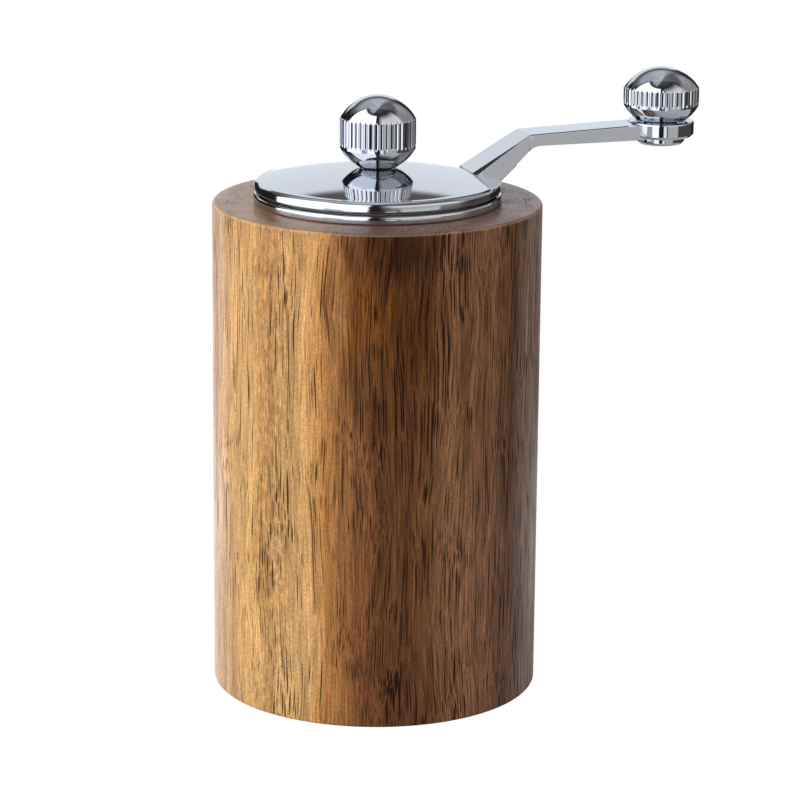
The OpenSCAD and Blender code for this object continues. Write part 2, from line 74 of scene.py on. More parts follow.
def linear(code: str) -> tuple[float, float, float, float]:
    """Turns an sRGB hex colour into linear light.

    Args:
        code: Six hex digits, with or without a leading #.

    Returns:
        Red, green, blue and an alpha of 1.
    """
    parts = [int(code.lstrip("#")[i:i + 2], 16) / 255 for i in (0, 2, 4)]
    lit = [c / 12.92 if c <= 0.04045 else ((c + 0.055) / 1.055) ** 2.4 for c in parts]
    return (lit[0], lit[1], lit[2], 1.0)


def add(tree: Tree, kind: str, inputs: dict | None = None, **settings: str | bool) -> Node:
    """Adds a node to a tree, with its settings, its values and its links.

    Args:
        tree: The shader or geometry tree.
        kind: The node's type, such as ShaderNodeMath.
        inputs: Values, output sockets or nodes, by the input's name or number.
        **settings: The node's own properties, such as operation.

    Returns:
        The new node.
    """
    node = tree.nodes.new(kind)
    for name, value in settings.items():
        setattr(node, name, value)
    for key, value in (inputs or {}).items():
        if isinstance(value, Node):
            value = value.outputs[0]
        if isinstance(value, Socket):
            tree.links.new(value, node.inputs[key])
        else:
            node.inputs[key].default_value = value
    return node


def calc(tree: Tree, operation: str, *values: Value) -> Socket:
    """Adds a Math node, with values or sockets in the order of its inputs. Returns its result."""
    return add(tree, "ShaderNodeMath", dict(enumerate(values)), operation=operation).outputs[0]


def vector_calc(tree: Tree, operation: str, *values: Value, **named: Value) -> Socket:
    """Adds a Vector Math node.

    Args:
        tree: The shader or geometry tree.
        operation: What it works out, such as LENGTH.
        *values: Vectors or sockets, in the order of its inputs.
        **named: Inputs by name, such as Scale.

    Returns:
        The result: a number for a length or a dot product, and otherwise a vector.
    """
    inputs = {**dict(enumerate(values)), **named}
    node = add(tree, "ShaderNodeVectorMath", inputs, operation=operation)
    return node.outputs["Value" if operation in ("LENGTH", "DOT_PRODUCT") else "Vector"]


def remap(tree: Tree, value: Value, start: Sequence[Value], end: Sequence[Value] = (0.0, 1.0),
          **settings: str | bool) -> Socket:
    """Maps a value from one range to another. The ranges' ends are numbers or sockets."""
    inputs = dict(zip(("From Min", "From Max", "To Min", "To Max"), (*start, *end)))
    return add(tree, "ShaderNodeMapRange", {"Value": value, **inputs}, **settings).outputs[0]


def blend(tree: Tree, share: Value, base: Value, over: Value) -> Socket:
    """Lays a share of one colour over another."""
    inputs = {"Factor": share, 6: base, 7: over}
    return add(tree, "ShaderNodeMix", inputs, data_type="RGBA").outputs[2]


def noise(tree: Tree, place: Socket, scale: float, detail: float) -> bpy.types.bpy_prop_collection:
    """Adds a Noise node with so many marks to the unit, and returns its outputs Fac and Color."""
    inputs = {"Vector": place, "Scale": scale, "Detail": detail}
    return add(tree, "ShaderNodeTexNoise", inputs).outputs


def place_mm(tree: Tree) -> Socket:
    """Finds the place on the object, in millimetres."""
    place = add(tree, "ShaderNodeTexCoord").outputs["Object"]
    return vector_calc(tree, "SCALE", place, Scale=1 / MM)


def principled(name: str, metal: str | None = None) -> tuple[Material, Tree, Node]:
    """Starts a material with a Principled shader.

    Args:
        name: The material's name.
        metal: Its colour, if it is a metal.

    Returns:
        The material, its tree and the shader node.
    """
    mat = bpy.data.materials.new(name)
    mat.use_nodes = True
    tree = mat.node_tree
    tree.nodes.clear()
    shader = add(tree, "ShaderNodeBsdfPrincipled")
    add(tree, "ShaderNodeOutputMaterial", {"Surface": shader})
    if metal:
        shader.inputs["Base Color"].default_value = linear(metal)
        shader.inputs["Metallic"].default_value = 1.0
    return mat, tree, shader


def surface(tree: Tree, shader: Node, rough: Socket, relief: Socket, depth_mm: float) -> None:
    """Gives a shader its roughness and its relief.

    Args:
        tree: The material's tree.
        shader: The Principled node.
        rough: Its roughness.
        relief: The height of its marks, from 0 to 1.
        depth_mm: What a height of 1 stands for.
    """
    bump = add(tree, "ShaderNodeBump", {
        "Height": relief, "Distance": depth_mm * MM, "Strength": 1.0,
    })
    tree.links.new(rough, shader.inputs["Roughness"])
    tree.links.new(bump.outputs[0], shader.inputs["Normal"])


def new_object(name: str, mesh: Mesh) -> Object:
    """Links a mesh to the scene as an object at the origin.

    Args:
        name: The piece's name.
        mesh: Its mesh, in metres.

    Returns:
        The new object.
    """
    piece = bpy.data.objects.new(name, mesh)
    bpy.context.scene.collection.objects.link(piece)
    return piece


def mesh_from(name: str, bm: BMesh) -> Mesh:
    """Turns a bmesh in millimetres into a mesh in metres, with its faces outwards.

    Args:
        name: The mesh's name.
        bm: The shape, which is freed.

    Returns:
        The mesh, shaded smooth.
    """
    bmesh.ops.remove_doubles(bm, verts=bm.verts, dist=WELD)
    bmesh.ops.recalc_face_normals(bm, faces=bm.faces)
    bmesh.ops.scale(bm, vec=(MM, MM, MM), verts=bm.verts)
    for face in bm.faces:
        face.smooth = True
    mesh = bpy.data.meshes.new(name)
    bm.to_mesh(mesh)
    bm.free()
    return mesh


def rounded(corners: Sequence[Corner], steps: int = 5, closed: bool = False) -> list[Point]:
    """Rounds the corners of an outline with arcs.

    Args:
        corners: Radius, height and fillet of each corner, where a fillet of 0 keeps it sharp.
        steps: Straight stretches in each arc.
        closed: Whether the outline joins its own start.

    Returns:
        The outline's points.
    """
    points: list[Point] = []
    count = len(corners)
    for i, (r, z, fillet) in enumerate(corners):
        here = Vector((r, z))
        if fillet <= 0 or (not closed and i in (0, count - 1)):
            points.append((r, z))
            continue
        before = Vector(corners[i - 1][:2]) - here
        after = Vector(corners[(i + 1) % count][:2]) - here
        half = before.angle(after) / 2
        side = min(before.length, after.length)
        reach = min(fillet / math.tan(half), side * FILLET_SHARE)
        radius = reach * math.tan(half)
        middle = (before.normalized() + after.normalized()).normalized()
        centre = here + middle * radius / math.sin(half)
        start = here + before.normalized() * reach - centre
        end = here + after.normalized() * reach - centre
        turn = start.angle_signed(end)
        for k in range(steps + 1):
            spoke = start.copy()
            spoke.rotate(Matrix.Rotation(-turn * k / steps, 2))
            points.append(tuple(centre + spoke))
    return points


def even(start: float, end: float, steps: int) -> list[float]:
    """Values in even steps from start to end, both included."""
    return [start + (end - start) * k / steps for k in range(steps + 1)]


def height_at(line: Sequence[Point], x: float) -> float:
    """Height of a line at a place along it.

    Args:
        line: Points in order along it.
        x: The place.

    Returns:
        The height there.
    """
    for (x0, z0), (x1, z1) in zip(line, line[1:]):
        if x0 <= x <= x1:
            return z0 + (z1 - z0) * (x - x0) / (x1 - x0) if x1 > x0 else z0
    return line[-1][1] if x > line[-1][0] else line[0][1]


def arc(centre: Point, radius: float, start_deg: float, end_deg: float, steps: int) -> list[Point]:
    """Points along an arc, ends included, by the angles of its ends from the outward direction."""
    angles = [math.radians(a) for a in even(start_deg, end_deg, steps)]
    return [(centre[0] + radius * math.cos(a), centre[1] + radius * math.sin(a)) for a in angles]


def turned(outline: Sequence[Point], segments: int, axis: Point = (0, 0),
           closed: bool = False) -> BMesh:
    """Turns an outline round an upright axis.

    Args:
        outline: Radius and height of each point. A radius of 0 closes the shape at a pole.
        segments: Faces round the axis.
        axis: Where the axis stands.
        closed: Whether the outline joins its own start, as on a ring.

    Returns:
        The closed shape, in millimetres.
    """
    bm = bmesh.new()
    rings = []
    for r, z in outline:
        if r < POLE:
            rings.append([bm.verts.new((axis[0], axis[1], z))])
            continue
        angles = [2 * math.pi * k / segments for k in range(segments)]
        rings.append([bm.verts.new((axis[0] + r * math.cos(a), axis[1] + r * math.sin(a), z))
                      for a in angles])
    pairs = list(zip(rings, rings[1:])) + ([(rings[-1], rings[0])] if closed else [])
    for low, high in pairs:
        for k in range(segments):
            n = (k + 1) % segments
            if len(low) == 1 and len(high) == 1:
                continue
            if len(low) == 1:
                bm.faces.new((low[0], high[k], high[n]))
            elif len(high) == 1:
                bm.faces.new((low[k], high[0], low[n]))
            else:
                bm.faces.new((low[k], low[n], high[n], high[k]))
    return bm


def turned_piece(name: str, outline: Sequence[Point], segments: int, axis: Point = (0, 0),
                 closed: bool = False, crease_deg: float = 32) -> Object:
    """Makes a turned piece, smooth but for its creases.

    Args:
        name: The piece's name.
        outline: Radius and height of each point.
        segments: Faces round the axis.
        axis: Where the axis stands.
        closed: Whether the outline joins its own start.
        crease_deg: Angle from which an edge shows as a crease.

    Returns:
        The new object.
    """
    mesh = mesh_from(name, turned(outline, segments, axis, closed))
    mesh.set_sharp_from_angle(angle=math.radians(crease_deg))
    return new_object(name, mesh)


def baked(piece: Object) -> Object:
    """Applies a piece's modifiers, so that what they make is a plain mesh.

    Args:
        piece: The object, whose modifiers are removed.

    Returns:
        The same object with the new mesh.
    """
    graph = bpy.context.evaluated_depsgraph_get()
    made = bpy.data.meshes.new_from_object(piece.evaluated_get(graph), depsgraph=graph)
    piece.modifiers.clear()
    old = piece.data
    piece.data = made
    made.name = piece.name
    if isinstance(old, Mesh):
        bpy.data.meshes.remove(old)
    return piece


class Shaping:
    """A Geometry Nodes tree with a named input for each of its sizes and for its material."""

    def __init__(self, name: str, values: dict[str, float | Place | Material]) -> None:
        """Starts the tree.

        Args:
            name: The tree's name.
            values: What each input is set to, by its name.
        """
        self.values = values
        self.tree = bpy.data.node_groups.new(name, "GeometryNodeTree")
        kinds = {float: "Float", tuple: "Vector", Material: "Material"}
        inputs = {"Geometry": "Geometry", **{label: kinds[type(v)] for label, v in values.items()}}
        for label, kind in inputs.items():
            self.tree.interface.new_socket(label, in_out="INPUT", socket_type=f"NodeSocket{kind}")
        kind = "NodeSocketGeometry"
        self.tree.interface.new_socket("Geometry", in_out="OUTPUT", socket_type=kind)
        self.given = add(self.tree, "NodeGroupInput").outputs

    def run(self, piece: Object, made: Node) -> Object:
        """Ends the tree, runs it on a piece and keeps what it makes as a plain mesh.

        Args:
            piece: The object.
            made: The node that makes the shape.

        Returns:
            The same object with the new mesh.
        """
        real = add(self.tree, "GeometryNodeRealizeInstances", {"Geometry": made})
        dress = {"Geometry": real, "Material": self.given["Material"]}
        add(self.tree, "NodeGroupOutput", {0: add(self.tree, "GeometryNodeSetMaterial", dress)})
        modifier = piece.modifiers.new(self.tree.name, "NODES")
        modifier.node_group = self.tree
        for item in self.tree.interface.items_tree:
            if item.in_out == "INPUT" and item.name in self.values:
                modifier[item.identifier] = self.values[item.name]
        return baked(piece)


# ---- finishes


class Lay(Enum):
    """Which way the marks of a metal's last working run."""

    TURNED = "round the axis"
    DRAWN = "along the axis"
    CAST = "no direction"


@dataclass(frozen=True)
class Metal:
    """A bare or plated metal. Its marks break the gloss up and catch the light as fine lines."""

    name: str
    colour: str
    roughness: float
    lay: Lay
    mark_mm: float
    depth_mm: float
    uneven: float = 0.08
    drawn_out: float = 0.03
    least: float = 0.02

    def material(self) -> Material:
        """Builds the metal as a material.

        Returns:
            The new material.
        """
        mat, tree, shader = principled(self.name, self.colour)
        place = place_mm(tree)
        if self.lay is Lay.TURNED:
            x, y, z = add(tree, "ShaderNodeSeparateXYZ", {0: place}).outputs
            flat = add(tree, "ShaderNodeCombineXYZ", {0: x, 1: y}).outputs[0]
            radius = vector_calc(tree, "LENGTH", flat)
            place = add(tree, "ShaderNodeCombineXYZ", {0: radius, 1: z}).outputs[0]
        elif self.lay is Lay.DRAWN:
            place = vector_calc(tree, "MULTIPLY", place, (1, 1, self.drawn_out))
        marks = noise(tree, place, 1 / self.mark_mm, 3.0)["Fac"]
        low, high = max(self.roughness - self.uneven, self.least), self.roughness + self.uneven
        surface(tree, shader, remap(tree, marks, MARKED, (low, high)), marks, self.depth_mm)
        return mat


@dataclass(frozen=True)
class Moulding:
    """A moulded or turned polymer: an even colour under a faintly grained skin."""

    name: str
    colour: str
    roughness: float
    grain_mm: float
    depth_mm: float
    uneven: float = 0.06
    tones: Point = (0.9, 1.1)

    def material(self) -> Material:
        """Builds the polymer as a material.

        Returns:
            The new material.
        """
        mat, tree, shader = principled(self.name)
        grain = noise(tree, place_mm(tree), 1 / self.grain_mm, 2.0)["Fac"]
        tone = add(tree, "ShaderNodeHueSaturation", {
            "Color": linear(self.colour), "Value": remap(tree, grain, (0, 1), self.tones),
        })
        tree.links.new(tone.outputs[0], shader.inputs["Base Color"])
        low, high = self.roughness - self.uneven, self.roughness + self.uneven
        surface(tree, shader, remap(tree, grain, (0, 1), (low, high)), grain, self.depth_mm)
        return mat


@dataclass(frozen=True)
class ChromePlate:
    """Polished chrome plate: a mirror with the faint swell of the zinc casting under it."""

    name: str = "chrome_plate_polished"
    colour: str = "cdd0d5"
    roughness: Point = (0.025, 0.075)
    haze_per_mm: float = 0.35
    swell_mm: float = 7.0
    depth_mm: float = 0.004

    def material(self) -> Material:
        """Builds the plate as a material.

        Returns:
            The new material.
        """
        mat, tree, shader = principled(self.name, self.colour)
        place = place_mm(tree)
        swell = noise(tree, place, 1 / self.swell_mm, 1.0)["Fac"]
        haze = noise(tree, place, self.haze_per_mm, 3.0)["Fac"]
        surface(tree, shader, remap(tree, haze, (0, 1), self.roughness), swell, self.depth_mm)
        return mat


@dataclass(frozen=True)
class Streaks:
    """Noise drawn out along the grain, by the size of its marks across and along it.

    Detail counts its finer octaves, and swing is how far it lightens and darkens the wood.
    """

    width: float
    length: float
    detail: float
    swing: float = 0.0


@dataclass(frozen=True)
class Pores:
    """One size of open pore, and how far round its middle it is dark."""

    width: float
    length: float
    reach: float


@dataclass(frozen=True)
class Patch:
    """A cloud of other colour in the wood, such as the shadow of a knot."""

    centre: Place
    reach: Place
    colour: str
    strength: float


@dataclass(frozen=True)
class Acacia:
    """Oiled acacia: layered browns, dark open pores along the grain and a satin oil film,
    with a painted sheen at both sides and on the top face and a painted highlight on the top edge.

    Places are in millimetres, across the layers, through them and up the trunk.
    """

    name: str = "acacia_oiled"
    turn_deg: float = 18.0
    half_width: float = 30.0
    # Colour stops across the wood: most are its bands, but the pale first and last stops are
    # painted sheen on the sides seen edge-on.
    layer_and_sheen_stops: tuple[tuple[float, str], ...] = (
        (-30.0, "ecc8aa"), (-26.0, "c89a66"), (-21.5, "d0a062"), (-19.2, "b8864e"),
        (-16.6, "be9058"), (-13.0, "c2945c"), (-9.5, "aa743f"), (-5.5, "8e5e34"),
        (-2.0, "744828"), (2.0, "5e3a1e"), (6.0, "5a371e"), (10.0, "694428"),
        (13.0, "7e573a"), (20.5, "755138"), (25.0, "634431"), (30.0, "9c8476"),
    )
    patches: tuple[Patch, ...] = (
        Patch((-17.0, -24.0, 86.0), (11.0, 12.0, 34.0), "9a683e", 0.35),
        Patch((-16.0, -25.0, 12.0), (9.0, 12.0, 28.0), "dcb07c", 0.3),
        Patch((3.0, -29.0, 82.0), (13.0, 14.0, 42.0), "4a2806", 0.85),
        Patch((-2.0, -29.0, 77.0), (7.0, 10.0, 14.0), "8a5212", 0.4),
        Patch((3.0, -29.0, 87.0), (9.0, 10.0, 7.0), "241004", 0.7),
        Patch((-3.0, -29.0, 19.0), (4.0, 8.0, 7.0), "7c4024", 0.3),
        Patch((-3.5, -29.0, 11.0), (3.0, 8.0, 3.0), "301810", 0.4),
        Patch((0.5, -29.0, 60.0), (2.6, 8.0, 2.6), "2c180e", 0.6),
    )
    rag_reach: float = 2.2
    patch_edge: Point = (2.2, 1.2)
    wave_size: Place = (15, 15, 45)
    wave_reach: Place = (5.0, 5.0, 0.0)
    fibre: Streaks = Streaks(0.24, 9.0, 4.0, 0.34)
    ribbon: Streaks = Streaks(2.2, 60.0, 3.0, 0.26)
    grit: Streaks = Streaks(0.3, 0.4, 2.0, 0.22)
    rag: Streaks = Streaks(3.0, 14.0, 5.0)
    crowd: Streaks = Streaks(4.0, 26.0, 2.0)
    dashes: Streaks = Streaks(0.8, 9.0, 2.0)
    dash_lean: Place = (0.32, 0.32, 0.0)
    dash_edge: Point = (0.42, 0.6)
    dash_tones: Point = (0.12, -0.24)
    figure_at: float = -18.0
    figure_fade: Point = (3.6, 1.44)
    heart: Point = (-12.0, -3.0)
    heart_swing: float = 0.62
    heart_pores: float = 1.18
    pore: str = "1c0e08"
    pores: tuple[Pores, ...] = (Pores(0.42, 48.0, 0.29), Pores(0.36, 18.0, 0.26))
    pore_sizes: Point = (0.35, 1.15)
    pore_edge: Point = (-0.03, 0.07)
    pore_dark: float = 0.92
    end_facing: Point = (0.85, 0.98)
    # Colour of the flat top: partly the end grain's own darker tone, partly a painted sheen.
    end_grain_and_sheen: str = "785444"
    end_grain_and_sheen_share: float = 0.6
    # Colour of a painted highlight: the pale line where the rounded top edge catches the light.
    edge: str = "f0d4b0"
    edge_highlight_facing: float = 0.55
    edge_highlight_fade: Point = (0.4, 0.2)
    edge_highlight_share: float = 0.14
    rough: Point = (0.3, 0.8)
    polish: Point = (0.13, 0.75)
    pore_polish: float = 0.05
    pore_sink: float = -0.8
    depth_mm: float = 0.06
    ior: float = 1.47

    def material(self) -> Material:
        """Builds the wood as a material.

        Returns:
            The new material.
        """
        mat, tree, shader = principled(self.name)
        mm = add(tree, "ShaderNodeMapping", {
            "Vector": add(tree, "ShaderNodeTexCoord").outputs["Object"],
            "Rotation": (0, 0, math.radians(self.turn_deg)), "Scale": (1 / MM,) * 3,
        }).outputs[0]
        grain = self._waved(tree, mm)
        part = add(tree, "ShaderNodeSeparateXYZ", {0: grain}).outputs
        heart = remap(tree, part[0], self.heart)
        colour = self._patched(tree, self._layered_with_painted_sheen(tree, part[0]), mm)
        fibre = self._streaked(tree, grain, self.fibre)
        toned = add(tree, "ShaderNodeHueSaturation", {
            "Color": colour, "Value": self._tone(tree, grain, part, heart, fibre),
        })
        pores = self._pores(tree, grain, heart)
        dark = blend(tree, pores, toned.outputs[0], linear(self.pore))
        normal = add(tree, "ShaderNodeNewGeometry").outputs["Normal"]
        up = add(tree, "ShaderNodeSeparateXYZ", {0: normal}).outputs[2]
        flat = remap(tree, up, self.end_facing)
        tree.links.new(self._ended_with_painted_light(tree, dark, up, flat), shader.inputs["Base Color"])
        polish = remap(tree, flat, (0, 1), self.polish)
        gloss = remap(tree, pores, (0, 1), (polish, self.pore_polish))
        tree.links.new(gloss, shader.inputs["Specular IOR Level"])
        relief = calc(tree, "MULTIPLY_ADD", pores, self.pore_sink, fibre)
        surface(tree, shader, remap(tree, pores, (0, 1), self.rough), relief, self.depth_mm)
        shader.inputs["IOR"].default_value = self.ior
        return mat

    def _waved(self, tree: Tree, mm: Socket) -> Socket:
        """Moves places aside by the grain's slow waves.

        Args:
            tree: The material's tree.
            mm: The place in the trunk.

        Returns:
            The place across, through and along the grain.
        """
        slow = vector_calc(tree, "MULTIPLY", mm, tuple(1 / size for size in self.wave_size))
        shift = vector_calc(tree, "SUBTRACT", noise(tree, slow, 1.0, 2.0)["Color"], (0.5, 0.5, 0.5))
        return vector_calc(tree, "ADD", mm, vector_calc(tree, "MULTIPLY", shift, self.wave_reach))

    def _streaked(self, tree: Tree, grain: Socket, streaks: Streaks) -> Socket:
        """Draws noise from 0 to 1 out along the grain."""
        scale = (1 / streaks.width, 1 / streaks.width, 1 / streaks.length)
        return noise(tree, vector_calc(tree, "MULTIPLY", grain, scale), 1.0, streaks.detail)["Fac"]

    def _layered_with_painted_sheen(self, tree: Tree, across: Socket) -> Socket:
        """Colours the wood by its bands, with a painted sheen at both sides.

        Args:
            tree: The material's tree.
            across: The place across them.

        Returns:
            The colour.
        """
        share = remap(tree, across, (-self.half_width, self.half_width))
        ramp = add(tree, "ShaderNodeValToRGB", {"Fac": share})
        stops = ramp.color_ramp.elements
        for i, (place, code) in enumerate(self.layer_and_sheen_stops):
            spot = (place + self.half_width) / (2 * self.half_width)
            stop = stops[i] if i < 2 else stops.new(spot)
            stop.position = spot
            stop.color = linear(code)
        return ramp.outputs["Color"]

    def _patched(self, tree: Tree, colour: Socket, mm: Socket) -> Socket:
        """Lays the patches over the layers, with ragged edges.

        Args:
            tree: The material's tree.
            colour: The bands' colour, with their painted sheen.
            mm: The place in the trunk.

        Returns:
            The colour with its patches.
        """
        rag = self._streaked(tree, mm, self.rag)
        for patch in self.patches:
            near = vector_calc(tree, "SUBTRACT", mm, patch.centre)
            far = vector_calc(tree, "LENGTH", vector_calc(tree, "DIVIDE", near, patch.reach))
            ragged = calc(tree, "MULTIPLY_ADD", rag, self.rag_reach, far)
            fade = remap(tree, ragged, self.patch_edge, (0, patch.strength),
                         interpolation_type="SMOOTHSTEP")
            colour = blend(tree, fade, colour, linear(patch.colour))
        return colour

    def _tone(self, tree: Tree, grain: Socket, part: Sequence[Socket],
              heart: Socket, fibre: Socket) -> Socket:
        """Lightens and darkens the wood by its fibres, ribbons, grit and leaning dashes.

        Args:
            tree: The material's tree.
            grain: The place in the grain.
            part: Its three parts.
            heart: How far it is dark heartwood, whose fibres are coarser.
            fibre: The fibres' noise.

        Returns:
            What to multiply the colour by.
        """
        lean = vector_calc(tree, "MULTIPLY", part[2], self.dash_lean)
        dashes = self._streaked(tree, vector_calc(tree, "ADD", grain, lean), self.dashes)
        dashes = remap(tree, dashes, self.dash_edge, self.dash_tones)
        off = calc(tree, "ABSOLUTE", calc(tree, "SUBTRACT", part[0], self.figure_at))
        there = remap(tree, off, self.figure_fade, interpolation_type="SMOOTHSTEP")
        value = calc(tree, "MULTIPLY_ADD", dashes, there, 1.0)
        coarse = remap(tree, heart, (0, 1), (self.fibre.swing, self.heart_swing))
        for marks, swing in (
            (fibre, coarse),
            (self._streaked(tree, grain, self.ribbon), self.ribbon.swing),
            (self._streaked(tree, grain, self.grit), self.grit.swing),
        ):
            ends = (calc(tree, "SUBTRACT", 1.0, swing), calc(tree, "ADD", 1.0, swing))
            value = calc(tree, "MULTIPLY", value, remap(tree, marks, MARKED, ends))
        return value

    def _pores(self, tree: Tree, grain: Socket, heart: Socket) -> Socket:
        """Finds the open pores, dark strokes along the grain that are thicker in some places.

        Args:
            tree: The material's tree.
            grain: The place in the grain.
            heart: How far it is dark heartwood, whose pores are wider.

        Returns:
            How dark each point is, from 0 to 1.
        """
        crowd = self._streaked(tree, grain, self.crowd)
        open_wood = remap(tree, heart, (0, 1), (1.0, self.heart_pores))
        strokes = 0.0
        for pores in self.pores:
            scale = (1 / pores.width, 1 / pores.width, 1 / pores.length)
            drawn = vector_calc(tree, "MULTIPLY", grain, scale)
            cells = add(tree, "ShaderNodeTexVoronoi", {"Vector": drawn, "Scale": 1.0}).outputs
            sizes = tuple(pores.reach * share for share in self.pore_sizes)
            size = calc(tree, "MULTIPLY", remap(tree, crowd, MARKED, sizes), open_wood)
            deep = calc(tree, "SUBTRACT", size, cells["Distance"])
            stroke = remap(tree, deep, self.pore_edge, (0, self.pore_dark))
            strokes = calc(tree, "MAXIMUM", stroke, strokes)
        return strokes

    def _ended_with_painted_light(self, tree: Tree, colour: Socket, up: Socket, flat: Socket) -> Socket:
        """Greys the flat end grain, partly as a painted sheen, and pales the rounded edge round it
        as a painted highlight.

        Args:
            tree: The material's tree.
            colour: The wood's colour.
            up: How far the surface faces up.
            flat: How far it is end grain.

        Returns:
            The colour with its end grain, painted sheen and painted edge highlight.
        """
        # Greys the flat top: end grain, partly a painted sheen.
        share = calc(tree, "MULTIPLY", flat, self.end_grain_and_sheen_share)
        # A painted highlight: the rounded top edge, which faces half up, is paled.
        away = calc(tree, "ABSOLUTE", calc(tree, "SUBTRACT", up, self.edge_highlight_facing))
        edge = remap(tree, away, self.edge_highlight_fade, (0, self.edge_highlight_share))
        ended_with_sheen = blend(tree, share, colour, linear(self.end_grain_and_sheen))
        return blend(tree, edge, ended_with_sheen, linear(self.edge))


@dataclass(frozen=True)
class Stock:
    """A material slot of the record, with the finish that dresses it."""

    slot: str
    finish: Metal | Moulding | Acacia | ChromePlate


STOCKS = (
    Stock("acacia", Acacia()),
    Stock("chrome_plate", ChromePlate()),
    Stock("steel", Metal("steel_turned", "b9babd", 0.26, Lay.TURNED, 0.35, 0.006)),
    Stock("spring_steel", Metal("spring_steel_drawn", "8f9196", 0.3, Lay.CAST, 0.4, 0.004)),
    Stock("cup_steel", Metal("stainless_steel_drawn", "c6c7c8", 0.3, Lay.DRAWN, 0.3, 0.004)),
    Stock("burr_steel", Metal("burr_steel_blackened", "4a4b4e", 0.42, Lay.CAST, 0.5, 0.02)),
    Stock("bronze", Metal("bronze_sintered", "b07a45", 0.45, Lay.CAST, 0.12, 0.01)),
    Stock("brass", Metal("brass_turned", "d6b04e", 0.22, Lay.TURNED, 0.3, 0.005)),
    Stock("black_nylon", Moulding("nylon_moulded_black", "1c1c1f", 0.5, 0.4, 0.02)),
    Stock("white_acetal", Moulding("acetal_turned_white", "dedcd4", 0.38, 0.6, 0.008)),
    Stock("silicone", Moulding("silicone_moulded_black", "242426", 0.62, 0.5, 0.01)),
)


class Wardrobe:
    """Holds one material for each of the record's slots and dresses pieces in them."""

    def __init__(self, stocks: Iterable[Stock]) -> None:
        """Builds the materials of the slots' finishes."""
        self.materials = {stock.slot: stock.finish.material() for stock in stocks}

    def dress(self, piece: Object, slot: str) -> Object:
        """Gives a piece one material on all its faces.

        Args:
            piece: A new piece or a CAD node.
            slot: The record's slot.

        Returns:
            The same piece.
        """
        piece.data.materials.clear()
        piece.data.materials.append(self.materials[slot])
        return piece

    def fit(self, piece: Object, slot: str, body: str, *nodes: str) -> None:
        """Dresses a new piece and puts it in the place of its CAD nodes.

        Args:
            piece: The new piece.
            slot: The record's slot.
            body: The CAD body that it moves with.
            *nodes: The CAD nodes that it stands for.
        """
        self.dress(piece, slot)
        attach(piece, body)
        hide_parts(*nodes)
        log.info("%s: %d faces, rides on %s", piece.name, len(piece.data.polygons), body)


# ---- pieces


@dataclass
class Barrel:
    """The wooden barrel, and the chrome bezel pressed into its top."""

    radius: float = 30.0
    height: float = 90.7
    edge: float = 0.6
    hopper_r: float = 19.0
    bay_r: float = 23.4
    bay_h: float = 36.0
    sleeve_r: float = 21.3
    sleeve_z: float = 82.5
    mouth_r: float = 20.1
    ledge_r: float = 16.5
    ledge_top: float = 84.5
    flange_r: float = 22.55
    flange_top: float = 92.3
    segments: int = 288

    def build(self, wardrobe: Wardrobe) -> None:
        """Makes the barrel and the bezel.

        Args:
            wardrobe: Where their finishes come from.
        """
        for name, corners, slot, node in (
            ("barrel_wood", self.wood_corners(), "acacia", "wood_barrel"),
            ("bezel_chrome", self.bezel_corners(), "chrome_plate", "bezel_ring"),
        ):
            piece = turned_piece(name, rounded(corners, closed=True), self.segments, closed=True)
            wardrobe.fit(piece, slot, "mill_body", node)

    def wood_corners(self) -> list[Corner]:
        """Corners of the wood's outline: outside, counterbore, hopper and cup bay."""
        return [
            (self.bay_r, 0, 0.25), (self.radius, 0, self.edge),
            (self.radius, self.height, self.edge), (self.sleeve_r, self.height, 0.05),
            (self.sleeve_r, self.sleeve_z, 0), (self.hopper_r, self.sleeve_z, 0.1),
            (self.hopper_r, self.bay_h, 0.1), (self.bay_r, self.bay_h, 0),
        ]

    def bezel_corners(self) -> list[Corner]:
        """Corners of the bezel's outline: flange, sleeve and the ledge inside it."""
        return [
            (self.ledge_r, self.sleeve_z, 0.15), (self.sleeve_r, self.sleeve_z, 0.4),
            (self.sleeve_r, self.height, 0), (self.flange_r, self.height, 0.3),
            (self.flange_r, self.flange_top, 0.55), (self.mouth_r, self.flange_top, 0.4),
            (self.mouth_r, self.ledge_top, 0.1), (self.ledge_r, self.ledge_top, 0.15),
        ]


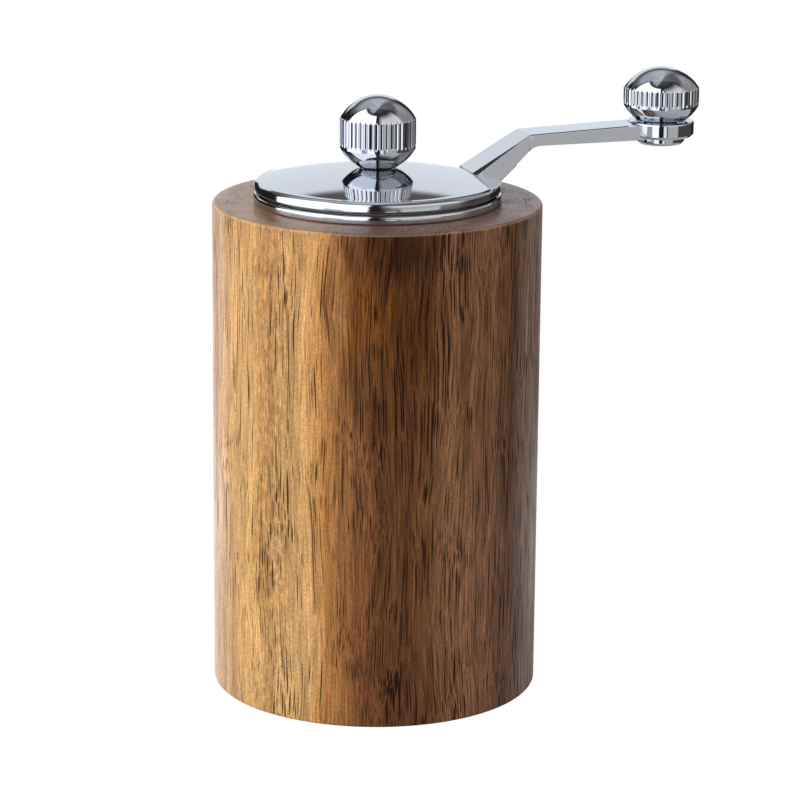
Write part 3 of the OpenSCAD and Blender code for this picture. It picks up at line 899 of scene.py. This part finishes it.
@dataclass
class Knob:
    """A chromed knob: a round bowl, a reeded band and a crowned top.

    Heights are above base_z. The bowl is the height of its foot and of its centre, and its
    radius. Bore and inner, the blind bore's two steps, are a radius and the height it ends at.
    """

    name: str
    node: str
    body: str
    axis: Point
    base_z: float
    radius: float
    bowl: tuple[float, float, float]
    band: Point
    rise: float
    bore: Point
    inner: Point
    reed_span: Point
    reeds: int = 44
    reed_depth: float = 0.23
    reed_lip: float = 0.625
    reed_bow: float = 0.2
    run_out: float = 0.3
    facets: int = 16
    skirt: float = 0.55
    edge: float = 0.12
    edge_zone: Point = (0.15, 1.15)
    bowl_steps: int = 14
    edge_steps: int = 10
    crown_steps: int = 30
    creases: Point = (50, 20)

    def build(self, wardrobe: Wardrobe) -> None:
        """Makes the knob.

        Args:
            wardrobe: Where its finish comes from.
        """
        segments, (before, after) = self.reeds * self.facets, self.creases
        plain = turned_piece(self.name, self.outline(), segments, self.axis, crease_deg=before)
        knob = self.reeded(plain, wardrobe.materials["chrome_plate"])
        knob.data.set_sharp_from_angle(angle=math.radians(after))
        wardrobe.fit(knob, "chrome_plate", self.body, self.node)

    def outline(self) -> list[Point]:
        """Draws the knob's outline from the blind bore, round the bowl and over the band.

        Returns:
            Radius and height of its points.
        """
        low, high = self.band
        foot_z, centre_z, bowl_r = self.bowl
        (bore_r, bore_z), (inner_r, inner_z) = self.bore, self.inner
        bowl = [(math.sqrt(bowl_r ** 2 - (centre_z - z) ** 2), z, 0.0)
                for z in even(foot_z, low, self.bowl_steps)[:-1]]
        cap_h = self.rise - high
        cap_r = (self.radius ** 2 + cap_h ** 2) / (2 * cap_h)
        start = math.asin((cap_r - cap_h) / cap_r)
        crown = [(cap_r * math.cos(a), self.rise - cap_r + cap_r * math.sin(a), 0.0)
                 for a in even(start, math.pi / 2, self.crown_steps)[1:-1]]
        near, far = self.edge_zone
        ends = [(self.radius, z, 0.0) for end, way in ((low, 1), (high, -1))
                for z in even(end + near * way, end + far * way, self.edge_steps)[::way]]
        skirt_r = bore_r + self.skirt
        skirt = [(skirt_r, 0, 0), (skirt_r, foot_z, 0.08)] if foot_z < 0 else []
        corners = [
            (0, inner_z, 0), (inner_r, inner_z, 0), (inner_r, bore_z, 0), (bore_r, bore_z, 0),
            (bore_r, 0, 0), *skirt, *bowl, (self.radius, low, self.edge), *ends,
            (self.radius, high, self.edge), *crown, (0, self.rise, 0),
        ]
        return [(r, self.base_z + z) for r, z in rounded(corners, steps=3)]

    def reeded(self, knob: Object, material: Material) -> Object:
        """Cuts the upright reeds into the band with Geometry Nodes, with sharp grooves between.

        Args:
            knob: The plain knob.
            material: Its finish.

        Returns:
            The reeded knob.
        """
        reeding = Shaping(f"{self.name}_reeding", {
            "Radius": self.radius * MM, "Depth": self.reed_depth * MM, "Reeds": float(self.reeds),
            "Axis": (self.axis[0] * MM, self.axis[1] * MM, self.base_z * MM),
            "Low": self.reed_span[0] * MM, "High": self.reed_span[1] * MM,
            "Run Out": self.run_out * MM, "Lip": self.reed_lip, "Bow": self.reed_bow,
            "Material": material,
        })
        tree, given = reeding.tree, reeding.given
        place = add(tree, "GeometryNodeInputPosition").outputs[0]
        spoke = vector_calc(tree, "SUBTRACT", place, given["Axis"])
        x, y, z = add(tree, "ShaderNodeSeparateXYZ", {0: spoke}).outputs
        flat = add(tree, "ShaderNodeCombineXYZ", {0: x, 1: y}).outputs[0]
        radius = vector_calc(tree, "LENGTH", flat)
        angle = calc(tree, "MULTIPLY", calc(tree, "ARCTAN2", y, x), given["Reeds"])
        fold = calc(tree, "PINGPONG", calc(tree, "DIVIDE", angle, 2 * math.pi), 0.5)
        phase = calc(tree, "MULTIPLY", fold, 2.0)
        square = calc(tree, "POWER", calc(tree, "DIVIDE", phase, given["Lip"]), 2.0)
        ridge = calc(tree, "MULTIPLY", square, given["Bow"])
        groove = remap(tree, phase, (given["Lip"], 1.0), (given["Bow"], 1.0), clamp=False)
        valley = calc(tree, "MAXIMUM", ridge, groove)
        longer = calc(tree, "MULTIPLY", valley, given["Run Out"])
        below = calc(tree, "SUBTRACT", calc(tree, "ADD", given["High"], longer), z)
        above = calc(tree, "SUBTRACT", z, calc(tree, "SUBTRACT", given["Low"], longer))
        inside = calc(tree, "MINIMUM", below, above)
        ends = remap(tree, inside, (0.0, given["Run Out"]), interpolation_type="SMOOTHSTEP")
        cut = calc(tree, "MULTIPLY", calc(tree, "MULTIPLY", valley, ends), given["Depth"])
        kept = calc(tree, "MINIMUM", radius, calc(tree, "SUBTRACT", given["Radius"], cut))
        scale = calc(tree, "DIVIDE", kept, calc(tree, "MAXIMUM", radius, POLE))
        lift = add(tree, "ShaderNodeCombineXYZ", {2: z}).outputs[0]
        moved = vector_calc(tree, "ADD", vector_calc(tree, "SCALE", flat, Scale=scale), lift)
        outer = add(tree, "FunctionNodeCompare", {"A": inside, "B": 0.0},
                    data_type="FLOAT", operation="GREATER_THAN")
        return reeding.run(knob, add(tree, "GeometryNodeSetPosition", {
            "Geometry": given["Geometry"], "Selection": outer,
            "Position": vector_calc(tree, "ADD", moved, given["Axis"]),
        }))


KNOBS = (
    Knob(name="adjuster_chrome", node="adjuster_knob", body="adjuster", axis=(0.0, 0.0),
         base_z=97.0, radius=6.9, bowl=(0.0, 6.9, 7.72), band=(3.45, 8.78), rise=13.1,
         bore=(3.2, 8.5), inner=(2.75, 10.3), reed_span=(4.1, 8.85)),
    Knob(name="handle_chrome", node="handle_knob", body="handle", axis=(55.2, 0.0),
         base_z=103.4, radius=7.0, bowl=(-0.3, 6.02, 7.9), band=(2.36, 5.6), rise=9.5,
         bore=(2.8, 5.1), inner=(3.2, 7.4), reed_span=(2.85, 5.75)),
)


@dataclass
class BurrSpring:
    """The coil spring that keeps the cone burr off the ring burr."""

    radius: float = 5.4
    wire: float = 0.45
    turns: float = 4.0
    low_z: float = 50.47
    high_z: float = 54.53
    steps: int = 40
    sides: int = 12

    def build(self, wardrobe: Wardrobe) -> None:
        """Winds the spring with Geometry Nodes, and lets it ride where the CAD spring does.

        Args:
            wardrobe: Where its finish comes from.
        """
        winding = Shaping("spring_winding", {
            "Radius": self.radius * MM, "Wire": self.wire * MM, "Turns": self.turns,
            "Height": (self.high_z - self.low_z) * MM, "Base": (0, 0, self.low_z * MM),
            "Material": wardrobe.materials["spring_steel"],
        })
        tree, given = winding.tree, winding.given
        coil = add(tree, "GeometryNodeCurveSpiral", {
            "Resolution": self.steps, "Rotations": given["Turns"], "Start Radius": given["Radius"],
            "End Radius": given["Radius"], "Height": given["Height"],
        })
        section = add(tree, "GeometryNodeCurvePrimitiveCircle", {
            "Resolution": self.sides, "Radius": given["Wire"],
        })
        wound = add(tree, "GeometryNodeCurveToMesh", {
            "Curve": coil, "Profile Curve": section, "Fill Caps": True,
        })
        placed = add(tree, "GeometryNodeTransform", {
            "Geometry": wound, "Translation": given["Base"],
        })
        blank = new_object("spring_wound", bpy.data.meshes.new("spring_wound"))
        spring = winding.run(blank, placed)
        wardrobe.fit(spring, "spring_steel", "mill_body", "burr_spring")


@dataclass
class CrankCover:
    """The chromed casting: a domed cover, the arm that rises from it and the handle's eye.

    Root, bend, eye and web are places along the arm: distance from the axis and height.
    """

    edge_r: float = 21.0
    edge_z: float = 94.65
    rise: float = 2.25
    skin: float = 1.6
    rim_r: float = 22.45
    rim_z: float = 92.6
    rim_lean: float = 0.1
    rim_foot: Point = (0.55, 0.3)
    nose: float = 0.9
    cavity_r: float = 20.6
    boss_r: float = 8.4
    boss_z: float = 92.0
    bore_r: float = 2.8
    root: Point = (17.0, 95.5)
    bend: Point = (28.1, 101.95)
    eye: Point = (55.2, 102.9)
    root_w: float = 4.6
    arm_w: float = 3.6
    tip_w: float = 3.2
    chamfer_tan: float = 0.7
    chamfer_least: float = 0.26
    edge_fillet: float = 0.16
    web: Point = (22.0, 93.4)
    web_step_x: float = 25.4
    web_step: float = 0.3
    web_slope: float = 41.2
    web_lap: Point = (0.6, 0.4)
    step_runs: Point = (0.1, 0.02)
    dome_lap: float = 0.8
    lap_x: float = 19.0
    bend_round: float = 1.2
    under_z: float = 99.8
    under_r: float = 3.5
    eye_r: float = 6.2
    eye_z: float = 100.0
    eye_edge: float = 0.3
    eye_bevel: float = 0.5
    pin_r: float = 2.0
    pin_way: Point = (98, 104)
    pin_sides: int = 96
    pin_gap: float = 0.1
    pin_head_r: float = 4.5
    flat_z: float = 95.28
    flat_slope: float = 13.0
    flat_fall: float = 5.4
    flat_size: Place = (10, 18, 5)
    flat_lap: float = 2
    crease: float = 33
    dome_steps: int = 36
    nose_steps: int = 14
    hollow_steps: int = 12
    segments: int = 288

    def build(self, wardrobe: Wardrobe) -> None:
        """Makes the casting.

        Args:
            wardrobe: Where its finish comes from.
        """
        cover = self.cover()
        for side in (1, -1):
            carved(cover, self.foot_cutter(side), "DIFFERENCE")
        carved(cover, self.arm(), "UNION")
        axis, (low, high) = (self.eye[0], 0), self.pin_way
        eye = turned_piece("eye", self.eye_outline(), SMALL_ROUND, axis, closed=True)
        carved(cover, eye, "UNION")
        bore = [(0, low), (self.pin_r, low), (self.pin_r, high), (0, high)]
        carved(cover, turned_piece("pin_way", bore, self.pin_sides, axis), "DIFFERENCE")
        creased(cover, self.crease)
        wardrobe.fit(cover, "chrome_plate", "crank", "crank_cover")

    def dome_z(self, r: float, skin: float = 0.0) -> float:
        """Height of the dome at a distance from the axis, or so far inside its skin."""
        radius = (self.edge_r ** 2 + self.rise ** 2) / (2 * self.rise)
        return self.edge_z + self.rise - radius + math.sqrt((radius - skin) ** 2 - r ** 2)

    def cover(self) -> Object:
        """Makes the cover as a closed ring: dome, bullnose, rim, hollow underside and boss.

        Returns:
            The cover, without its arm.
        """
        top = [(r, self.dome_z(r)) for r in even(self.bore_r, self.edge_r, self.dome_steps)]
        shoulder_r, shoulder_z = self.rim_r - self.rim_lean, self.edge_z - self.nose
        width = shoulder_r - self.edge_r
        nose = [(self.edge_r + width * math.cos(a), shoulder_z + self.nose * math.sin(a))
                for a in even(math.pi / 2, 0, self.nose_steps)[1:]]
        in_by, up_by = self.rim_foot
        foot = rounded([
            (shoulder_r, shoulder_z, 0), (self.rim_r, self.rim_z + up_by, 0.25),
            (self.rim_r - in_by, self.rim_z, 0.2), (self.cavity_r, self.rim_z, 0),
        ])[1:]
        hollow = [(r, self.dome_z(r, self.skin))
                  for r in even(self.cavity_r, self.boss_r, self.hollow_steps)]
        boss = [(self.boss_r, self.boss_z), (self.bore_r, self.boss_z)]
        ring = turned(top + nose + foot + hollow + boss, self.segments, closed=True)
        return new_object("crank_chrome", mesh_from("crank_chrome", ring))

    def foot_cutter(self, side: int) -> Object:
        """Makes the block that cuts one flat beside the arm's foot.

        Args:
            side: 1 or -1, the side of the arm.

        Returns:
            The block.
        """
        bm = bmesh.new()
        long, wide, tall = self.flat_size
        low, high = sorted((-side * self.flat_lap, side * (wide + self.flat_lap)))
        corners = [bm.verts.new((x, y, z)) for z in (0, tall)
                   for x, y in ((0, low), (long, low), (long, high), (0, high))]
        sides = [(k, (k + 1) % 4, (k + 1) % 4 + 4, k + 4) for k in range(4)]
        for ring in ((3, 2, 1, 0), (4, 5, 6, 7), *sides):
            bm.faces.new([corners[i] for i in ring])
        tilt = Matrix.Rotation(math.radians(self.flat_slope), 4, "Y")
        fall = Matrix.Rotation(math.radians(-side * self.flat_fall), 4, "X")
        place = Matrix.Translation((self.root[0], side * self.root_w, self.flat_z))
        bmesh.ops.transform(bm, matrix=place @ tilt @ fall, verts=bm.verts)
        return new_object("foot_cutter", mesh_from("foot_cutter", bm))

    def eye_outline(self) -> list[Point]:
        """Radius and height round the eye, which is solid to its axis."""
        bevel, edge, top = self.eye_bevel, self.eye_edge, self.eye[1]
        return rounded([
            (0.5, self.eye_z, 0), (self.eye_r - bevel, self.eye_z, edge),
            (self.eye_r, self.eye_z + bevel, edge), (self.eye_r, top, edge), (0.5, top, 0),
        ], closed=True)

    def arm(self) -> Object:
        """Lofts the arm through upright sections, from inside the cover to the eye.

        Returns:
            The arm.
        """
        corners = [(*self.root, 0), (*self.bend, self.bend_round), (*self.eye, 0)]
        top = rounded(corners, steps=6)
        under = self.under_line()
        places = sorted({round(x, 4) for x, _ in top + under})
        bm = bmesh.new()
        rings = []
        for x in places:
            section = self.section(x, height_at(under, x), height_at(top, x))
            rings.append([bm.verts.new((x, y, z)) for y, z in section])
        count = len(rings[0])
        for near, far in zip(rings, rings[1:]):
            for k in range(count):
                n = (k + 1) % count
                bm.faces.new((near[k], near[n], far[n], far[k]))
        bm.faces.new(rings[0])
        bm.faces.new(rings[-1])
        return new_object("arm", mesh_from("arm", bm))

    def section(self, x: float, low: float, high: float) -> list[Point]:
        """One section across the arm, chamfered along its top edges.

        Args:
            x: Distance from the axis.
            low: Height of the underside there.
            high: Height of the top there.

        Returns:
            Sideways place and height of its points.
        """
        slope = max(0.0, (self.bend[0] - x) / (self.bend[0] - self.root[0]))
        outer = min(1.0, max(0.0, (x - self.bend[0]) / (self.eye[0] - self.bend[0])))
        half = self.arm_w + (self.root_w - self.arm_w) * slope + (self.tip_w - self.arm_w) * outer
        chamfer = max(half - self.arm_w, self.chamfer_least)
        fillet, shoulder = self.edge_fillet, high - chamfer * self.chamfer_tan
        right = [(half, low, fillet), (half, shoulder, fillet), (half - chamfer, high, fillet)]
        left = [(-y, z, fillet) for y, z, _ in reversed(right)]
        return rounded(right + left, steps=3, closed=True)

    def under_line(self) -> list[Point]:
        """Draws the arm's underside from inside the cover to the eye.

        Returns:
            Distance from the axis and height of its points.
        """
        rise = math.tan(math.radians(self.web_slope))
        step_z = self.web[1] + (self.web_step_x - self.web[0]) * rise + self.web_step
        turn_x = self.web_step_x + (self.under_z - step_z) / rise
        tangent = self.under_r * math.tan(math.radians(self.web_slope / 2))
        centre = (turn_x + tangent, self.under_z - self.under_r)
        curve = arc(centre, self.under_r, 90 + self.web_slope, 90, 8)
        web_run, head_run = self.step_runs
        head_x = self.eye[0] - self.pin_head_r - self.pin_gap
        buried = [(x, self.dome_z(x) - self.dome_lap)
                  for x in (self.root[0], self.lap_x, self.cavity_r)]
        return buried + [
            (self.web[0] - self.web_lap[0], self.web[1] - self.web_lap[1]), self.web,
            (self.web_step_x, step_z - self.web_step), (self.web_step_x + web_run, step_z), *curve,
            (head_x, self.under_z), (head_x + head_run, self.eye_z), (self.eye[0], self.eye_z),
        ]


def carved(piece: Object, tool: Object, operation: str) -> None:
    """Joins a tool to a piece or cuts it away, and removes the tool.

    Args:
        piece: The piece, whose mesh changes.
        tool: The other shape.
        operation: UNION or DIFFERENCE.
    """
    for shape in (piece, tool):
        if not shape.data.materials:
            shape.data.materials.append(bpy.data.materials.new(f"surface_of_{shape.name}"))
    joint = piece.modifiers.new("joint", "BOOLEAN")
    joint.operation = operation
    joint.object = tool
    joint.solver = "EXACT"
    joint.material_mode = "TRANSFER"
    baked(piece)
    mesh = tool.data
    bpy.data.objects.remove(tool)
    bpy.data.meshes.remove(mesh)


def creased(piece: Object, angle_deg: float) -> None:
    """Creases a carved piece at its joints and sharp edges, and evens its shading elsewhere.

    Args:
        piece: The piece, whose faces know which shape they came from by their material.
        angle_deg: Angle from which an edge within one shape is a crease.
    """
    mesh = piece.data
    mesh.set_sharp_from_angle(angle=math.radians(angle_deg))
    bm = bmesh.new()
    bm.from_mesh(mesh)
    for edge in bm.edges:
        if len({face.material_index for face in edge.link_faces}) > 1:
            edge.smooth = False
    for face in bm.faces:
        face.material_index = 0
    bm.to_mesh(mesh)
    bm.free()
    even_out = piece.modifiers.new("even_out", "WEIGHTED_NORMAL")
    even_out.keep_sharp = True
    even_out.weight = 100
    baked(piece)


@dataclass
class HandlePin:
    """The pin that the handle turns on, with a domed head under the arm's eye."""

    axis: Point = (55.2, 0.0)
    head_r: float = 4.5
    head_z: float = 98.6
    eye_z: float = 100.0
    radius: float = 2.0
    top: float = 110.0
    edge: float = 0.3
    bevel: float = 0.5

    def build(self, wardrobe: Wardrobe) -> None:
        """Makes the pin.

        Args:
            wardrobe: Where its finish comes from.
        """
        outline = rounded([
            (0, self.head_z, 0), (self.head_r - self.bevel, self.head_z, self.edge),
            (self.head_r, self.head_z + self.bevel, self.edge), (self.head_r, self.eye_z, 0.05),
            (self.radius, self.eye_z, 0), (self.radius, self.top, 0.2), (0, self.top, 0),
        ])
        pin = turned_piece("pin_chrome", outline, SMALL_ROUND, self.axis)
        wardrobe.fit(pin, "chrome_plate", "crank", "handle_pin")


# ---- studio


@dataclass(frozen=True)
class Glow:
    """A bright field, such as a softbox or a lit wall, by the angles that it fills.

    Its azimuth is counted from the camera's own side, to the right, and radiance 1 shows as white.
    """

    azimuth: float
    spread: float
    low: float
    high: float
    radiance: float
    tint: str = "ffffff"
    soft: float = 6.0


@dataclass(frozen=True)
class Panel:
    """A lamp that gives the surfaces their modelling, by where it hangs and how bright it is."""

    name: str
    azimuth: float
    elevation: float
    distance: float
    size: Point
    radiance: float


@dataclass
class Studio:
    """A white table in a tent of soft light, with the camera in a dark gap in front.

    The table is in millimetres, and the places of the lamps and the camera are in metres.
    """

    glows: tuple[Glow, ...] = (
        Glow(-57, 49, -4, 66, 2.05, "f4f8ff", 4.0),
        Glow(-78, 28, -36, -4, 1.8, "f4f8ff", 4.0),
        Glow(-40, 10, -36, -4, 0.55, "e6ecff", 4.0),
        Glow(-20, 11, -36, -4, 1.65, "f8f8ff", 3.0),
        Glow(13, 5, -36, -5, 1.2, "f8f8ff", 3.0),
        Glow(48, 38, 0, 60, 0.9, "fbfaf8", 20.0),
        Glow(41, 19, -36, -2, 0.58, "fbfaf8", 5.0),
        Glow(112, 34, 4, 50, 0.36, "f0f0f4", 14.0),
        Glow(95, 34, -40, -4, 0.11, "d0b8a8", 5.0),
        Glow(-170, 25, 14, 29, 1.1, "e9edf3", 4.0),
        Glow(180, 16, 2, 14, 1.1, "e4ecf4", 4.0),
        Glow(180, 12, -50, 2, 1.4, "f6f8fa", 4.0),
        Glow(180, 60, 29, 50, 0.16, "d8ccc8", 4.0),
        Glow(-155, 45, 44, 92, 0.56, "eef2fa", 22.0),
        Glow(150, 50, 46, 92, 0.16, "eef2fa", 24.0),
        Glow(-75, 42, 73, 94, 0.5, "eef2fa", 8.0),
        Glow(0, 190, 76, 110, 0.1, "f0f0f8", 30.0),
        Glow(0, 190, -110, -42, 0.5, "ffffff", 6.0),
    )
    panels: tuple[Panel, ...] = (
        Panel("key", -50, 14, 0.9, (0.4, 0.4), 1.4),
        Panel("fill", 62, 10, 0.9, (0.4, 0.4), 1.6),
    )
    dimness: str = "28262a"
    target: Place = (0.012, 0.0, 0.06)
    table_r: float = 200.0
    table_hole_r: float = 29.0
    table_tone: str = "d8dade"
    camera_at: Place = (-0.18218, -0.56069, 0.20962)
    camera_forward: Place = (0.31614 * 0.96654, 0.94871 * 0.96654, -0.25650)
    camera_roll: float = 0.009
    lens: float = 148.67
    near: float = 0.05

    def __post_init__(self) -> None:
        """Works out the level directions towards the camera and to its right."""
        self.front = -Vector((self.camera_forward[0], self.camera_forward[1], 0)).normalized()
        self.right = Vector((-self.front.y, self.front.x, 0))

    def build(self) -> None:
        """Sets up the table, the lights and the camera."""
        self._camera()
        self._table()
        self._world()
        for panel in self.panels:
            self._lamp(panel)
        bpy.context.scene.view_settings.view_transform = "Standard"

    def _camera(self) -> None:
        """Stands the camera at its place."""
        forward = Vector(self.camera_forward).normalized()
        right = forward.cross(Vector((0, 0, 1))).normalized()
        up = right.cross(forward)
        cos, sin = math.cos(self.camera_roll), math.sin(self.camera_roll)
        right, up = right * cos + up * sin, up * cos - right * sin
        data = bpy.data.cameras.new("camera")
        data.lens = self.lens
        data.clip_start = self.near
        camera = bpy.data.objects.new("camera", data)
        turn = Matrix((right, up, -forward)).transposed().to_4x4()
        camera.matrix_world = Matrix.Translation(self.camera_at) @ turn
        bpy.context.scene.collection.objects.link(camera)
        bpy.context.scene.camera = camera

    def _table(self) -> None:
        """Lays the table, which is white to the eye and a lit matt white in reflections.

        It is clear from below and open under the base, so that light reaches the cup.
        """
        bm = turned([(self.table_hole_r, 0.0), (self.table_r, 0.0)], SMALL_ROUND)
        bm.normal_update()
        for face in bm.faces:
            if face.normal.z < 0:
                face.normal_flip()
        table = new_object("table", mesh_from("table", bm))
        mat = bpy.data.materials.new("table_white_laminate")
        mat.use_nodes = True
        tree = mat.node_tree
        tree.nodes.clear()
        path = add(tree, "ShaderNodeLightPath").outputs
        under = add(tree, "ShaderNodeNewGeometry").outputs["Backfacing"]
        matt = add(tree, "ShaderNodeBsdfDiffuse", {"Color": linear(self.table_tone)})
        white = add(tree, "ShaderNodeEmission", {"Color": WHITE})
        clear = add(tree, "ShaderNodeBsdfTransparent")
        seen = add(tree, "ShaderNodeMixShader", {0: path["Is Camera Ray"], 1: matt, 2: white})
        side = add(tree, "ShaderNodeMixShader", {0: under, 1: seen, 2: clear})
        add(tree, "ShaderNodeOutputMaterial", {"Surface": side})
        table.data.materials.append(mat)

    def _world(self) -> None:
        """Surrounds the object with its glows, which the camera itself sees as plain white."""
        world = bpy.data.worlds.new("studio")
        world.use_nodes = True
        bpy.context.scene.world = world
        tree = world.node_tree
        tree.nodes.clear()
        look = add(tree, "ShaderNodeTexCoord").outputs["Generated"]
        aside = vector_calc(tree, "DOT_PRODUCT", look, self.right)
        ahead = vector_calc(tree, "DOT_PRODUCT", look, self.front)
        azimuth = calc(tree, "DEGREES", calc(tree, "ARCTAN2", aside, ahead))
        up = add(tree, "ShaderNodeSeparateXYZ", {0: look}).outputs[2]
        elevation = calc(tree, "DEGREES", calc(tree, "ARCSINE", up))
        light = add(tree, "ShaderNodeRGB").outputs[0]
        light.default_value = linear(self.dimness)
        for glow in self.glows:
            light = self._glow(tree, light, azimuth, elevation, glow)
        path = add(tree, "ShaderNodeLightPath").outputs
        shown = blend(tree, path["Is Camera Ray"], light, WHITE)
        back = add(tree, "ShaderNodeBackground", {"Color": shown})
        add(tree, "ShaderNodeOutputWorld", {"Surface": back})

    def _glow(self, tree: Tree, light: Socket, azimuth: Socket, elevation: Socket,
              glow: Glow) -> Socket:
        """Adds one glow to the light from each direction.

        Args:
            tree: The world's tree.
            light: The light so far.
            azimuth: The direction's azimuth.
            elevation: Its elevation.
            glow: The glow.

        Returns:
            The light with the glow.
        """
        past = calc(tree, "WRAP", calc(tree, "SUBTRACT", azimuth, glow.azimuth), 180.0, -180.0)
        away = calc(tree, "ABSOLUTE", past)
        half = glow.soft / 2
        strength = glow.radiance
        low, high = (elevation, glow.low, half), (elevation, glow.high, -half)
        for value, end, way in ((away, glow.spread, -half), low, high):
            step = remap(tree, value, (end - way, end + way), interpolation_type="SMOOTHSTEP")
            strength = calc(tree, "MULTIPLY", step, strength)
        lit = vector_calc(tree, "SCALE", linear(glow.tint)[:3], Scale=strength)
        return vector_calc(tree, "ADD", light, lit)

    def _lamp(self, panel: Panel) -> None:
        """Hangs one lamp, turned to the object and kept out of sight and of reflections.

        Args:
            panel: The lamp.
        """
        azimuth, rise = math.radians(panel.azimuth), math.radians(panel.elevation)
        level = self.front * math.cos(azimuth) + self.right * math.sin(azimuth)
        way = level * math.cos(rise) + Vector((0, 0, 1)) * math.sin(rise)
        data = bpy.data.lights.new(panel.name, "AREA")
        data.shape = "RECTANGLE"
        data.size, data.size_y = panel.size
        data.energy = panel.radiance * math.pi * panel.size[0] * panel.size[1]
        lamp = bpy.data.objects.new(panel.name, data)
        turn = (-way).to_track_quat("-Z", "Y").to_matrix().to_4x4()
        lamp.matrix_world = Matrix.Translation(Vector(self.target) + way * panel.distance) @ turn
        lamp.visible_camera = False
        lamp.visible_glossy = False
        bpy.context.scene.collection.objects.link(lamp)


def dress_the_rest(wardrobe: Wardrobe) -> None:
    """Dresses every CAD node that still shows in the finish of its own slot.

    Args:
        wardrobe: Where the finishes come from.
    """
    for part in frame["record"]["subparts"]:
        node, slot = frame["nodes"][part["node"]], part["material_slot"]
        if not node.hide_render:
            wardrobe.dress(node, slot)
            log.info("%s: dressed in %s", node.name, slot)


def main() -> None:
    """Builds the grinder's pieces, dresses the rest of the model and sets the studio."""
    Studio().build()
    wardrobe = Wardrobe(STOCKS)
    Barrel().build(wardrobe)
    CrankCover().build(wardrobe)
    HandlePin().build(wardrobe)
    for knob in KNOBS:
        knob.build(wardrobe)
    BurrSpring().build(wardrobe)
    dress_the_rest(wardrobe)


if __name__ == "__main__":
    main()
